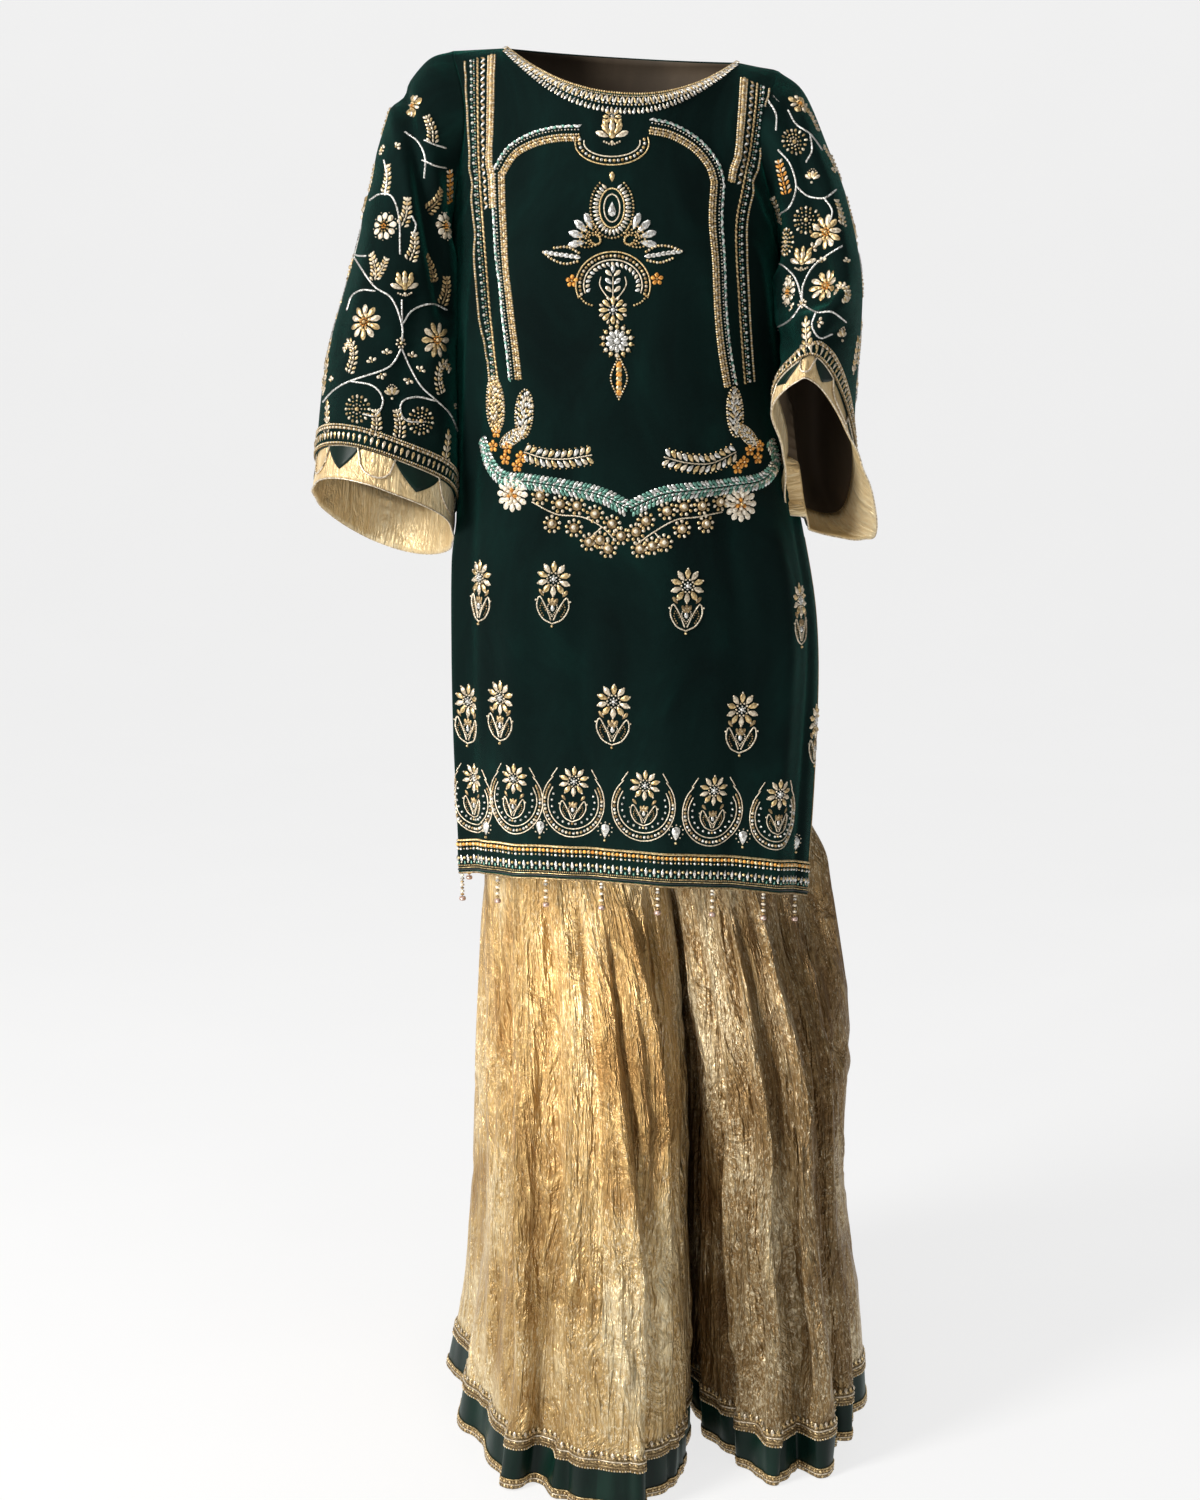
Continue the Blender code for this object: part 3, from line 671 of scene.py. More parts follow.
def make_metal(name, dark, light, metallic, roughness, grain=420.0):
    """Thread, beads or lace: bright metal that varies from bead to bead."""
    shader = Shader(name)
    place = shader.node("ShaderNodeTexCoord").outputs["Object"]
    fine = shader.noise(place, grain, 2)
    shader.colour(shader.ramp(fine, [(0.36, dark), (0.64, light)]))
    shader.roughness(fine, roughness, roughness + 0.22)
    shader.set(Metallic=metallic)
    return shader.bump(fine, 0.25, 0.0004).material


def make_lining():
    shader = Shader("lining")
    place = shader.cloth_place(1, 1)
    weave = shader.noise(place, 900, 2)
    soft = shader.noise(shader.cloth_place(1, 0.3), 18, 3)
    shader.colour(shader.ramp(soft, [(0.3, (0.060, 0.042, 0.026)), (0.7, (0.115, 0.082, 0.052))]))
    shader.set(Roughness=0.7)
    return shader.bump(weave, 0.3, 0.0004).material


VELVET_LOOK = make_velvet()
# The colour of the tissue's painted glints
PAINTED_GLINT = (1.0, 0.88, 0.62)
TISSUE_LOOK = make_tissue(
    "tissue", (0.32, 0.176, 0.055), (0.57, 0.375, 0.147), (0.88, 0.70, 0.39), PAINTED_GLINT, 0.40
)
# The other leg's tissue is the same cloth, painted darker as painted shade of the leg that stands out of the
# light
SHADED_TISSUE_LOOK = make_tissue(
    "shaded_tissue", (0.148, 0.078, 0.024), (0.290, 0.183, 0.073), (0.52, 0.39, 0.205), PAINTED_GLINT, 0.42
)
# The cuff facings are hardly crushed
FACING_LOOK = make_tissue(
    "facing_tissue", (0.66, 0.47, 0.23), (0.86, 0.66, 0.36), (1.0, 0.84, 0.54), PAINTED_GLINT, 0.30, 0.3
)
SATIN_LOOK = make_satin()
LINING_LOOK = make_lining()
BEAD_LOOKS = {
    "gold": make_metal("gold_thread", (0.40, 0.25, 0.09), (0.92, 0.72, 0.40), 0.85, 0.28),
    "pale": make_metal("pale_thread", (0.46, 0.36, 0.24), (0.95, 0.84, 0.66), 0.60, 0.30),
    "silver": make_metal("silver_beads", (0.42, 0.40, 0.36), (0.95, 0.94, 0.90), 0.75, 0.18),
    "cream": make_metal("cream_sequins", (0.60, 0.50, 0.36), (1.00, 0.92, 0.78), 0.25, 0.30),
    "orange": make_metal("orange_beads", (0.45, 0.16, 0.02), (0.95, 0.45, 0.08), 0.30, 0.28),
    "green": make_metal("green_beads", (0.03, 0.12, 0.09), (0.25, 0.50, 0.40), 0.45, 0.22),
    "antique": make_metal("antique_thread", (0.16, 0.10, 0.045), (0.50, 0.36, 0.18), 0.70, 0.34),
    "dark": make_metal("dark_cord", (0.004, 0.006, 0.006), (0.012, 0.018, 0.016), 0.10, 0.45),
    "rose": make_metal("rose_beads", (0.36, 0.22, 0.17), (0.80, 0.62, 0.55), 0.65, 0.22),
}
LACE_LOOK = make_metal("lace_ground", (0.07, 0.045, 0.018), (0.34, 0.24, 0.11), 0.55, 0.36, 700.0)
BEAD_ORDER = list(BEAD_LOOKS)


# Cloth sheets


def grid_faces(rows, columns, ring):
    across = np.arange(columns if ring else columns - 1)
    down = np.arange(rows - 1)
    row, column = np.meshgrid(down, across, indexing="ij")
    after = (column + 1) % columns
    here = row * columns
    below = (row + 1) * columns
    corners = [here + column, here + after, below + after, below + column]
    return np.stack(corners, axis=-1).reshape(-1, 4)


def cloth_lengths(grid, ring):
    """Distances in metres across and along the cloth, for its grain."""
    closed = np.concatenate([grid, grid[:, :1]], axis=1) if ring else grid
    across = np.linalg.norm(np.diff(closed, axis=1), axis=-1).mean(axis=0)
    along = np.linalg.norm(np.diff(grid, axis=0), axis=-1).mean(axis=1)
    return np.concatenate([[0], across.cumsum()]), np.concatenate([[0], along.cumsum()])


def piece(name, grid, thickness, looks, solid, ring=False, flip=False, outside=False):
    """A shown cloth: a fine sheet with a wall, riding on the root and standing for its solid."""
    rows, columns = grid.shape[:2]
    faces = grid_faces(rows, columns, ring)
    across, along = cloth_lengths(grid, ring)
    row, column = np.meshgrid(np.arange(rows - 1), np.arange(len(across) - 1), indexing="ij")
    spots = [
        np.stack([across[column + right], along[row + down]], axis=-1)
        for right, down in ((0, 0), (1, 0), (1, 1), (0, 1))
    ]
    spots = np.stack(spots, axis=2).reshape(-1, 4, 2)
    if flip:
        faces = faces[:, ::-1]
        spots = spots[:, ::-1]
    mesh = bpy.data.meshes.new(name)
    mesh.from_pydata(grid.reshape(-1, 3).tolist(), [], faces.tolist())
    layer = mesh.uv_layers.new(name="cloth")
    layer.data.foreach_set("uv", np.ascontiguousarray(spots, np.float32).ravel())
    mesh.shade_smooth()
    for look in looks:
        mesh.materials.append(look)
    obj = add_object(name, mesh)
    wall = obj.modifiers.new("wall", "SOLIDIFY")
    wall.thickness = thickness
    wall.offset = 1 if outside else -1
    wall.material_offset = len(looks) - 1
    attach(obj, "root")
    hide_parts(solid)


# Small folds, added to the sheets along their normals


def ridge(distance, width):
    return np.exp(-((distance / width) ** 2))


def window(value, low, high, soft):
    """1 between low and high, fading to 0 over soft on both sides."""
    return ease((value - low) / soft + 1) * ease((high - value) / soft + 1)


# Drape of the kameez panels: place across the panel from -1 to 1, slant, width, depth, and the low and high
# ends in metres
PANEL_CREASES = {
    "front": (
        (-0.86, 0.10, 0.055, 0.0040, -0.88, -0.52), (-0.70, 0.16, 0.060, -0.0028, -0.88, -0.45),
        (-0.44, 0.10, 0.075, 0.0036, -0.90, -0.60), (-0.17, -0.06, 0.060, -0.0024, -0.90, -0.56),
        (0.08, -0.05, 0.090, 0.0034, -0.90, -0.50), (0.34, -0.12, 0.070, -0.0030, -0.90, -0.46),
        (0.58, -0.16, 0.075, 0.0042, -0.90, -0.52), (0.80, -0.10, 0.050, -0.0030, -0.88, -0.50),
        (-0.62, 0.75, 0.045, 0.0026, -0.40, -0.22), (-0.50, 0.95, 0.040, -0.0020, -0.38, -0.24),
        (0.66, -0.80, 0.050, 0.0024, -0.42, -0.24), (0.20, -0.15, 0.110, 0.0022, -0.46, -0.28),
        (-0.70, 1.60, 0.060, 0.0009, -0.20, -0.10), (-0.78, 1.30, 0.050, -0.0009, -0.24, -0.12),
        (0.74, -1.50, 0.060, 0.0009, -0.20, -0.10), (0.86, -1.20, 0.050, -0.0008, -0.26, -0.13),
        (0.30, -0.60, 0.070, 0.0016, -0.30, -0.16), (-0.30, 0.50, 0.080, 0.0016, -0.34, -0.18),
        (-0.16, 0.12, 0.090, -0.0018, -0.45, -0.30),
    ),
    "back": (
        (-0.74, 0.12, 0.060, 0.0040, -0.90, -0.40), (-0.40, 0.08, 0.070, -0.0028, -0.90, -0.34),
        (-0.10, 0.02, 0.080, 0.0036, -0.90, -0.42), (0.22, -0.06, 0.060, -0.0026, -0.90, -0.30),
        (0.50, -0.10, 0.080, 0.0040, -0.90, -0.45), (0.78, -0.14, 0.060, -0.0030, -0.90, -0.38),
    ),
}
PANEL_CREASE_FADE = 0.07
PUCKER_COUNT = 26
PUCKER_DEPTH = 0.0011
PUCKER_SWAY = 3.0
SWAY_TURNS = 41
PUCKER_HEIGHTS = (-0.22, -0.03)
PUCKER_FADE = 0.03
PUCKERS_FROM = 0.72  # this far across the panel, and full when they are PUCKERS_OVER further out
PUCKERS_OVER = 0.26
PANEL_EDGE = 0.06  # all creases die away this close to the panel's sides
CREASE_GAIN = 1.5


def drape(facing, grid, across):
    """Creases of a kameez panel, and puckers where the armhole seam pulls the velvet."""
    height = grid[..., 2]
    across = np.broadcast_to(across[None], height.shape)
    total = np.zeros(height.shape)
    for at, slant, width, depth, low, high in PANEL_CREASES[facing]:
        line = at + slant * (height - high)
        reach = window(height, low, high, PANEL_CREASE_FADE)
        total += CREASE_GAIN * depth * ridge(across - line, width) * reach
    near_side = ease((np.abs(across) - PUCKERS_FROM) / PUCKERS_OVER)
    rise = np.sin(height * 2 * np.pi * PUCKER_COUNT + PUCKER_SWAY * np.sin(height * SWAY_TURNS))
    total += PUCKER_DEPTH * near_side * rise * window(height, *PUCKER_HEIGHTS, PUCKER_FADE)
    return total * ease((1 - np.abs(across)) / PANEL_EDGE)


# Drape of the sleeves, as lines on the frame of the photo: points, width in pixels and depth in metres
SLEEVE_CREASES = {
    "right": (
        (((400, 92), (412, 140), (424, 200), (434, 250), (445, 312)), 8, -0.0085),
        (((392, 96), (402, 150), (410, 205), (420, 262)), 7, 0.0036),
        (((424, 120), (436, 190), (446, 260), (456, 330)), 9, 0.0030),
        (((388, 160), (372, 240), (360, 320), (345, 410)), 15, 0.0030),
        (((418, 300), (412, 350), (400, 400), (396, 432)), 13, -0.0032),
        (((360, 230), (348, 300), (340, 350)), 9, -0.0024),
        (((430, 330), (434, 390), (440, 440)), 10, 0.0026),
    ),
    "left": (
        (((786, 110), (800, 150), (812, 200), (822, 250), (826, 300)), 8, -0.0050),
        (((770, 120), (784, 180), (796, 240), (800, 300), (806, 350)), 10, 0.0036),
        (((800, 120), (826, 180), (840, 240), (846, 300)), 8, 0.0030),
        (((838, 300), (822, 316), (800, 322), (782, 318)), 7, 0.0040),
        (((846, 330), (826, 342), (800, 342), (776, 336)), 7, -0.0036),
        (((764, 150), (770, 220), (778, 290), (786, 345)), 8, -0.0040),
    ),
}
FRONT_TURNS = (12, 150)
TURN_FADE = 25
BEHIND_DEPTH = 0.8  # of the front's creases, on the hidden side
TOP_FADE = 0.35  # steps over which the creases begin at the armhole
MOUTH_FADE = 0.5  # steps over which they soften towards the velvet's end
MOUTH_SHARE = 0.25


def distance_to_line(points, line):
    line = np.array(line, float)
    best = np.full(points.shape[:-1], 1e9)
    for start, end in zip(line, line[1:]):
        run = end - start
        share = np.clip(((points - start) @ run) / (run @ run), 0, 1)
        gap = np.linalg.norm(points - start - share[..., None] * run, axis=-1)
        best = np.minimum(best, gap)
    return best


def sleeve_drape(side, grid, turns, steps):
    seen = pixels_of(grid)
    total = np.zeros(grid.shape[:2])
    in_front = window(turns, *FRONT_TURNS, TURN_FADE)[None]
    behind = window(turns, 360 - FRONT_TURNS[1], 360 - FRONT_TURNS[0], TURN_FADE)[None]
    for line, width, depth in SLEEVE_CREASES[side]:
        fold = depth * ridge(distance_to_line(seen, line), width)
        total += fold * (in_front + BEHIND_DEPTH * behind)
    steps = np.asarray(steps)[:, None]
    return total * ease(steps / TOP_FADE) * ease((VELVET_END - steps) / MOUTH_FADE + MOUTH_SHARE)


# Crush of the tissue trousers: many narrow upright ridges, uneven in length, depth and spacing, and short
# creases across them. Widths and reaches are in degrees round the leg, slants in degrees a metre, the tilt
# in metres a degree, and the rest is in metres
CRINKLES = 620
CRINKLE = {"width": (0.9, 2.4), "depth": (0.0005, 0.0022), "middle": (-1.46, -0.84), "length": (0.04, 0.22)}
CRINKLE_SLANT = 10
CREASES_ACROSS = 170
ACROSS = {"middle": (-1.42, -0.95), "reach": (3, 9), "length": (0.006, 0.014), "depth": (0.0010, 0.0032)}
ACROSS_TILT = 0.010
CRUSH_SEED = 7
CRUSH_FROM = -0.83
CRUSH_FULL = -0.93


def crush(side, heights, angles):
    """How far the crushed tissue stands out from the leg's large folds, in metres."""
    rng = np.random.default_rng(CRUSH_SEED + SIDES[side])
    heights = np.asarray(heights)[:, None]
    angles = np.asarray(angles)[None]
    total = np.zeros((heights.shape[0], angles.shape[1]))
    for _ in range(CRINKLES):
        at = rng.uniform(0, 360)
        width = rng.uniform(*CRINKLE["width"])
        depth = rng.uniform(*CRINKLE["depth"]) * rng.choice([1, 1, -1])
        middle = rng.uniform(*CRINKLE["middle"])
        length = rng.uniform(*CRINKLE["length"])
        slant = rng.normal(0, CRINKLE_SLANT)
        apart = (angles - at - slant * (heights - middle) + 180) % 360 - 180
        # Only the columns that the ridge can reach are worked out
        near = np.abs(apart[0]) < 4 * width + abs(slant) * 0.6
        part = depth * ridge(apart[:, near], width) * ridge(heights - middle, length)
        total[:, near] += part
    for _ in range(CREASES_ACROSS):
        at = rng.uniform(0, 360)
        middle = rng.uniform(*ACROSS["middle"])
        reach = rng.uniform(*ACROSS["reach"])
        length = rng.uniform(*ACROSS["length"])
        depth = rng.uniform(*ACROSS["depth"]) * rng.choice([1, -1])
        tilt = rng.uniform(-ACROSS_TILT, ACROSS_TILT)
        apart = (angles - at + 180) % 360 - 180
        total += depth * ridge(apart, reach) * ridge(heights - middle - tilt * apart, length)
    for at, slant, width, depth, low, high in LEG_CREASES[side]:
        wander = CREASE_WANDER * np.sin((heights - low) * WANDER_TURNS + at)
        apart = (angles - at - slant * (heights - LEG_MIDDLE) - wander + 180) % 360 - 180
        total += LEG_CREASE_GAIN * depth * ridge(apart, width) * window(heights, low, high, CREASE_FADE)
    return total * ease((CRUSH_FROM - heights) / (CRUSH_FROM - CRUSH_FULL))


# Larger creases of the trousers: angle, slant in degrees a metre, width in degrees, and depth, low and high
# ends in metres
LEG_CREASES = {
    "right": (
        (52, 24, 4.2, -0.0090, -1.46, -1.02), (41, 12, 4.0, 0.0060, -1.46, -1.08),
        (74, 10, 5.0, -0.0070, -1.44, -0.92), (22, 6, 3.4, -0.0062, -1.40, -0.86),
        (12, -4, 3.0, 0.0048, -1.30, -0.90), (0, 10, 3.2, -0.0055, -1.22, -0.86),
        (347, 14, 3.0, 0.0050, -1.46, -1.12), (340, 20, 3.6, -0.0085, -1.46, -0.96),
        (326, 12, 3.0, 0.0050, -1.40, -0.90), (316, -14, 3.4, -0.0070, -1.36, -0.84),
        (300, -8, 4.0, -0.0060, -1.44, -0.90), (32, -26, 2.6, -0.0042, -1.18, -0.92),
        (6, -20, 2.6, -0.0046, -1.46, -1.24), (356, 30, 2.4, 0.0036, -1.44, -1.28),
        (110, 8, 5.0, -0.0080, -1.45, -0.95), (136, -10, 4.4, 0.0060, -1.45, -1.05),
        (158, 8, 4.0, -0.0085, -1.45, -0.90), (184, -6, 4.2, -0.0060, -1.45, -1.00),
        (206, 12, 3.6, 0.0055, -1.44, -0.94), (228, -12, 4.0, -0.0080, -1.45, -0.90),
        (252, 6, 4.6, -0.0060, -1.45, -1.04),
    ),
    "left": (
        (333, 10, 4.2, -0.0120, -1.36, -0.85), (322, 6, 3.2, 0.0060, -1.42, -0.90),
        (310, -10, 3.6, -0.0080, -1.40, -0.88), (345, -6, 3.2, 0.0058, -1.30, -0.86),
        (4, 8, 4.4, -0.0110, -1.30, -0.86), (16, -8, 3.0, 0.0050, -1.40, -0.92),
        (26, 12, 3.0, -0.0060, -1.44, -1.06), (42, -10, 3.6, -0.0085, -1.42, -0.90),
        (56, 8, 3.8, 0.0056, -1.44, -1.00), (70, -6, 4.0, -0.0070, -1.45, -0.90),
        (352, 22, 2.6, -0.0055, -1.45, -1.16), (298, 10, 3.6, 0.0046, -1.44, -1.00),
        (286, -6, 4.0, -0.0060, -1.40, -0.88), (36, -24, 2.4, 0.0040, -1.30, -1.06),
        (104, 8, 4.6, -0.0080, -1.45, -0.92), (128, -8, 4.2, 0.0060, -1.45, -1.04),
        (150, 10, 4.2, -0.0090, -1.45, -0.90), (176, -6, 4.4, -0.0060, -1.45, -0.98),
        (200, 12, 3.8, 0.0055, -1.44, -0.94), (222, -10, 4.2, -0.0080, -1.45, -0.92),
        (246, 6, 4.4, -0.0065, -1.45, -1.02),
    ),
}
CREASE_FADE = 0.10
CREASE_WANDER = 2.2  # degrees that a crease sways to each side
WANDER_TURNS = 17
LEG_CREASE_GAIN = 1.35
LEG_MIDDLE = -1.15

LEG_ROWS = 120
HEM_ROWS = 8
CUFF_BAND_ROWS = 5
FACING_ROWS = 8
SLEEVE_ROWS = 96
BASE_WALL = 0.0006
HEM_BORDER_ROWS = 6
FACING_WRINKLE = 0.0007
PIPING_LIFT = 0.0008

grounds = {}


class Ground:
    """The outer face of a cloth, which beadwork lies on."""

    def __init__(self, grid, ring):
        faces = grid_faces(*grid.shape[:2], ring)
        self.tree = BVHTree.FromPolygons(grid.reshape(-1, 3).tolist(), faces.tolist())

    def seen(self, pixel, behind=False):
        start, way = ray(pixel, behind)
        point, normal = self.tree.ray_cast(start, way)[:2]
        if point is None:
            return None, None
        return point, (-normal if normal.dot(way) > 0 else normal)

    def nearest(self, point, normal):
        """The cloth under a point near it, with a normal on the same side as the given one."""
        place, facing = self.tree.find_nearest(point)[:2]
        return place, (-facing if facing.dot(normal) < 0 else facing)


def make_kameez():
    shares = np.linspace(0, 1, SKIRT_ROWS + 1)
    border_share = HEM_BORDER / (UNDERARM + KAMEEZ_LENGTH)
    above = shares[shares > border_share * 1.2]
    shares = np.concatenate([np.linspace(0, border_share, HEM_BORDER_ROWS), above])
    for facing, count in (("front", FRONT_COLUMNS), ("back", BACK_COLUMNS)):
        across = np.linspace(-1, 1, count + 1)
        flip = facing == "back"
        grid = panel(facing, across, shares)
        grid = grid + drape(facing, grid, across)[..., None] * normals(grid, False, flip)
        grounds["kameez_" + facing] = Ground(grid, False)
        piece(
            "velvet_" + facing, grid, VELVET, (VELVET_LOOK, LINING_LOOK), "kameez_" + facing,
            flip=flip,
        )
        border = raised(grid, False, flip, SEAM)[:HEM_BORDER_ROWS]
        piece(
            "hem_border_ground_" + facing, border, BASE_WALL, (VELVET_LOOK,),
            "hem_border_" + facing, flip=flip, outside=True,
        )
        lines["hem_" + facing] = (grid[:HEM_BORDER_ROWS], flip)
        if facing == "front":
            kameez_edges["right"] = grid[:, 0]
            kameez_edges["left"] = grid[:, -1]
            inside = np.abs(across) <= NECK_SHARE + 1e-6
            strip = raised(grid, False, False, NECK_BAND_SEAM)[-3:, inside]
            piece(
                "neck_band_ground", strip, BASE_WALL, (VELVET_LOOK,), "neck_band",
                outside=True,
            )
            lines["neck"] = (strip, False)


BODY_ROOM = 0.0012  # the room kept between the hanging sleeve and the side seam
SLEEVE_OVERLAP = {"right": 0.012, "left": 0.019}  # how far its front hangs over the side of the kameez
HANG_FROM = 0.45  # steps down the sleeve
HANG_OVER = 0.75
OVERLAP_TURN = 142
OVERLAP_SPREAD = 26
INNER_SPREAD = 58
BODY_FRONT = -0.050  # behind this the sleeve stays beside the kameez
# The inner side of the bent arm's sleeve hangs in a fold against the body
LOW_FOLD = {"side": "left", "turn": 216, "spread": 36, "in": 0.038, "down": 0.013, "from": 3.9, "over": 1.6}


def sleeve_shape(side, steps, turns):
    """The sleeve's rings, hanging close against the side of the kameez as they do in the photo."""
    rings = sleeve(side, steps, turns)
    edge = kameez_edges[side]
    order = np.argsort(edge[:, 2])
    inner = sleeve(side, steps, np.array([180.0]))[:, 0]
    body = np.interp(inner[:, 2], edge[order, 2], edge[order, 0])
    gap = SIDES[side] * (inner[:, 0] - body) - BODY_ROOM
    begun = ease((np.asarray(steps) - HANG_FROM) / HANG_OVER)
    near = ridge(turns - 180, INNER_SPREAD)
    over = ridge(turns - OVERLAP_TURN, OVERLAP_SPREAD)
    push = (np.maximum(gap, 0) * begun)[:, None] * near[None]
    push = push + (SLEEVE_OVERLAP[side] * begun)[:, None] * over[None]
    rings[..., 0] -= SIDES[side] * push
    if side == LOW_FOLD["side"]:
        begun = ease((np.asarray(steps) - LOW_FOLD["from"]) / LOW_FOLD["over"])
        fold = begun[:, None] * ridge(turns - LOW_FOLD["turn"], LOW_FOLD["spread"])[None]
        rings[..., 0] -= SIDES[side] * LOW_FOLD["in"] * fold
        rings[..., 2] -= LOW_FOLD["down"] * fold
        body = np.interp(rings[..., 2], edge[order, 2], edge[order, 0])
        beside = (rings[..., 1] > BODY_FRONT) & (begun[:, None] > 0)
        rings[..., 0] = np.where(beside, np.maximum(rings[..., 0], body + BODY_ROOM), rings[..., 0])
    return rings


def make_sleeve_cloth():
    turns = ring_turns(SLEEVE_COLUMNS)
    steps = np.linspace(0, CUFF_BAND_STEPS[0], SLEEVE_ROWS)
    steps = np.concatenate([steps, np.linspace(*CUFF_BAND_STEPS, CUFF_BAND_ROWS + 1)[1:]])
    for side in SIDES:
        flip = side == "right"
        grid = sleeve_shape(side, steps, turns)
        push = sleeve_drape(side, grid, turns, steps)
        grid = grid + push[..., None] * normals(grid, True, flip)
        grounds["sleeve_" + side] = Ground(grid, True)
        lines["sleeve_" + side] = (grid, flip)
        piece(
            "velvet_sleeve_" + side, grid, VELVET, (VELVET_LOOK, LINING_LOOK), "sleeve_" + side,
            ring=True, flip=flip,
        )
        band = raised(grid, True, flip, SEAM)[-CUFF_BAND_ROWS - 1 :]
        piece(
            "cuff_band_ground_" + side, band, BASE_WALL, (VELVET_LOOK,), "cuff_band_" + side,
            ring=True, flip=flip, outside=True,
        )
        lines["cuff_" + side] = (band, flip)
        facing_steps = np.linspace(FACING_STEPS[0], FACING_STEPS[-1], FACING_ROWS + 1)
        inset = raised(sleeve_shape(side, facing_steps, turns), True, flip, -(VELVET + TRIM_SEAM))
        wrinkle = FACING_WRINKLE * np.sin(np.radians(turns) * 9 + 1.7 * np.sin(np.radians(turns) * 4))
        fade = ease((facing_steps - VELVET_END) / 0.4)[:, None]
        inset = inset + (wrinkle[None] * fade)[..., None] * normals(inset, True, flip)
        piece(
            "facing_" + side, inset, TRIM, (FACING_LOOK, FACING_LOOK), "cuff_facing_" + side,
            ring=True, flip=flip,
        )
        lines["facing_" + side] = (inset, flip)
        make_edging_cloth(side, inset, turns, flip)


def ring_turns(count):
    return np.arange(count) * 360 / count


POINT_WIDTH = 0.53  # of the distance from one satin point to the next
POINT_TOP = 0.12  # steps that the points reach up under the velvet's end
POINT_STUB = 0.02  # steps that they hang down where they are shortest
FACING_SPAN = FACING_STEPS[-1] - FACING_STEPS[0]


def at_steps(grid, steps):
    """Points of the facing, one row of steps at a time; each column may have a step of its own."""
    at = (np.asarray(steps) - FACING_STEPS[0]) / FACING_SPAN * (len(grid) - 1)
    row = np.clip(np.floor(at).astype(int), 0, len(grid) - 2)
    column = np.arange(grid.shape[1])
    return grid[row, column] + (grid[row + 1, column] - grid[row, column]) * (at - row)[..., None]


def make_edging_cloth(side, facing, turns, flip):
    """Green satin points that hang from the end of the velvet, over the tissue facing."""
    over = raised(facing, True, flip, SEAM)
    wave = np.abs((turns * EDGING_REPEATS / 360 * 2) % 2 - 1)
    pointed = np.clip((wave - 1 + POINT_WIDTH) / POINT_WIDTH, 0, 1)
    low = VELVET_END + POINT_STUB + (FACING_STEPS[2] - VELVET_END - POINT_STUB) * pointed
    strip = np.array([
        at_steps(over, VELVET_END - POINT_TOP + (low - VELVET_END + POINT_TOP) * down)
        for down in np.linspace(0, 1, 5)
    ])
    hang = np.clip((1 - POINT_WIDTH - wave) / (1 - POINT_WIDTH), 0, 1)
    scallop = VELVET_END + (FACING_STEPS[2] - VELVET_END + POINT_STUB) * np.sqrt(1 - (1 - hang) ** 2)
    lines["piping_" + side] = (at_steps(raised(facing, True, flip, PIPING_LIFT), scallop), flip)
    piece(
        "satin_points_" + side, strip, BASE_WALL, (SATIN_LOOK,), "cuff_edging_" + side,
        ring=True, flip=flip, outside=True,
    )


LEG_ROOM = -0.0040  # the insides bulge past each other, one in front of the other
LEGS_TOUCH = (-1.30, -0.76)  # heights between which the insides of the legs hang against each other
INNER_REACH = 50


def make_trouser_cloth():
    angles = ring_turns(YOKE_COLUMNS)
    band = hip_rings(np.linspace(WAIST, WAIST - WAISTBAND_DEPTH, 4), angles)
    piece(
        "waistband", band, VELVET, (TISSUE_LOOK, LINING_LOOK), "trouser_waistband",
        ring=True, flip=True,
    )
    heights = np.linspace(WAIST - WAISTBAND_DEPTH - SEAM, CROTCH, 16)
    piece(
        "yoke", hip_rings(heights, angles), TISSUE, (TISSUE_LOOK, LINING_LOOK), "trouser_yoke",
        ring=True, flip=True,
    )
    turns = ring_turns(LEG_COLUMNS)
    hem_top = -SHOULDER_TO_FLOOR + SATIN_DEPTH
    hem_heights = np.linspace(hem_top, -SHOULDER_TO_FLOOR, HEM_ROWS + 1)
    heights = np.concatenate([np.linspace(LEG_HEIGHTS[0], hem_top, LEG_ROWS), hem_heights[1:]])
    legs = {}
    for side in SIDES:
        grid = leg_rings(side, heights, turns)
        legs[side] = grid + crush(side, heights, turns)[..., None] * normals(grid, True, side == "left")
    room = legs["left"][..., 0].min(axis=1) - legs["right"][..., 0].max(axis=1) - LEG_ROOM
    push = np.maximum(room, 0) / 2 * window(heights, LEGS_TOUCH[0], LEGS_TOUCH[1], 0.08)
    for side in SIDES:
        flip = side == "left"
        grid = legs[side]
        grid[..., 0] -= SIDES[side] * push[:, None] * ridge(turns - 270, INNER_REACH)[None]
        grid[..., 2] = np.maximum(grid[..., 2], -SHOULDER_TO_FLOOR)
        # The wearer's left leg wears the tissue painted darker, as painted shade
        look = {"right": TISSUE_LOOK, "left": SHADED_TISSUE_LOOK}[side]
        piece(
            "tissue_leg_" + side, grid, TISSUE, (look, look), "leg_" + side,
            ring=True, flip=flip,
        )
        hem = raised(grid, True, flip, SEAM)[-HEM_ROWS - 1 :]
        hem[..., 2] = np.maximum(hem[..., 2], -SHOULDER_TO_FLOOR)
        piece(
            "satin_band_" + side, hem, BASE_WALL, (SATIN_LOOK,), "satin_hem_" + side,
            ring=True, flip=flip, outside=True,
        )
        lines["leg_hem_" + side] = (hem, flip)


lines = {}
kameez_edges = {}
make_kameez()
make_sleeve_cloth()
make_trouser_cloth()


# Beadwork: many small raised shapes, joined into one mesh for each cloth


def dome(sides, shoulder, rise):
    turns = np.radians(ring_turns(sides))
    circle = np.stack([np.sin(turns) / 2, np.cos(turns) / 2], axis=-1)
    low = np.concatenate([circle, np.zeros((sides, 1))], axis=1)
    high = np.concatenate([circle * shoulder, np.full((sides, 1), rise)], axis=1)
    points = np.concatenate([low, high, [[0, 0, 1]]])
    faces = []
    for side in range(sides):
        after = (side + 1) % sides
        faces += [(after, side, sides + side), (after, sides + side, sides + after)]
        faces.append((sides + after, sides + side, 2 * sides))
    return points, np.array(faces)


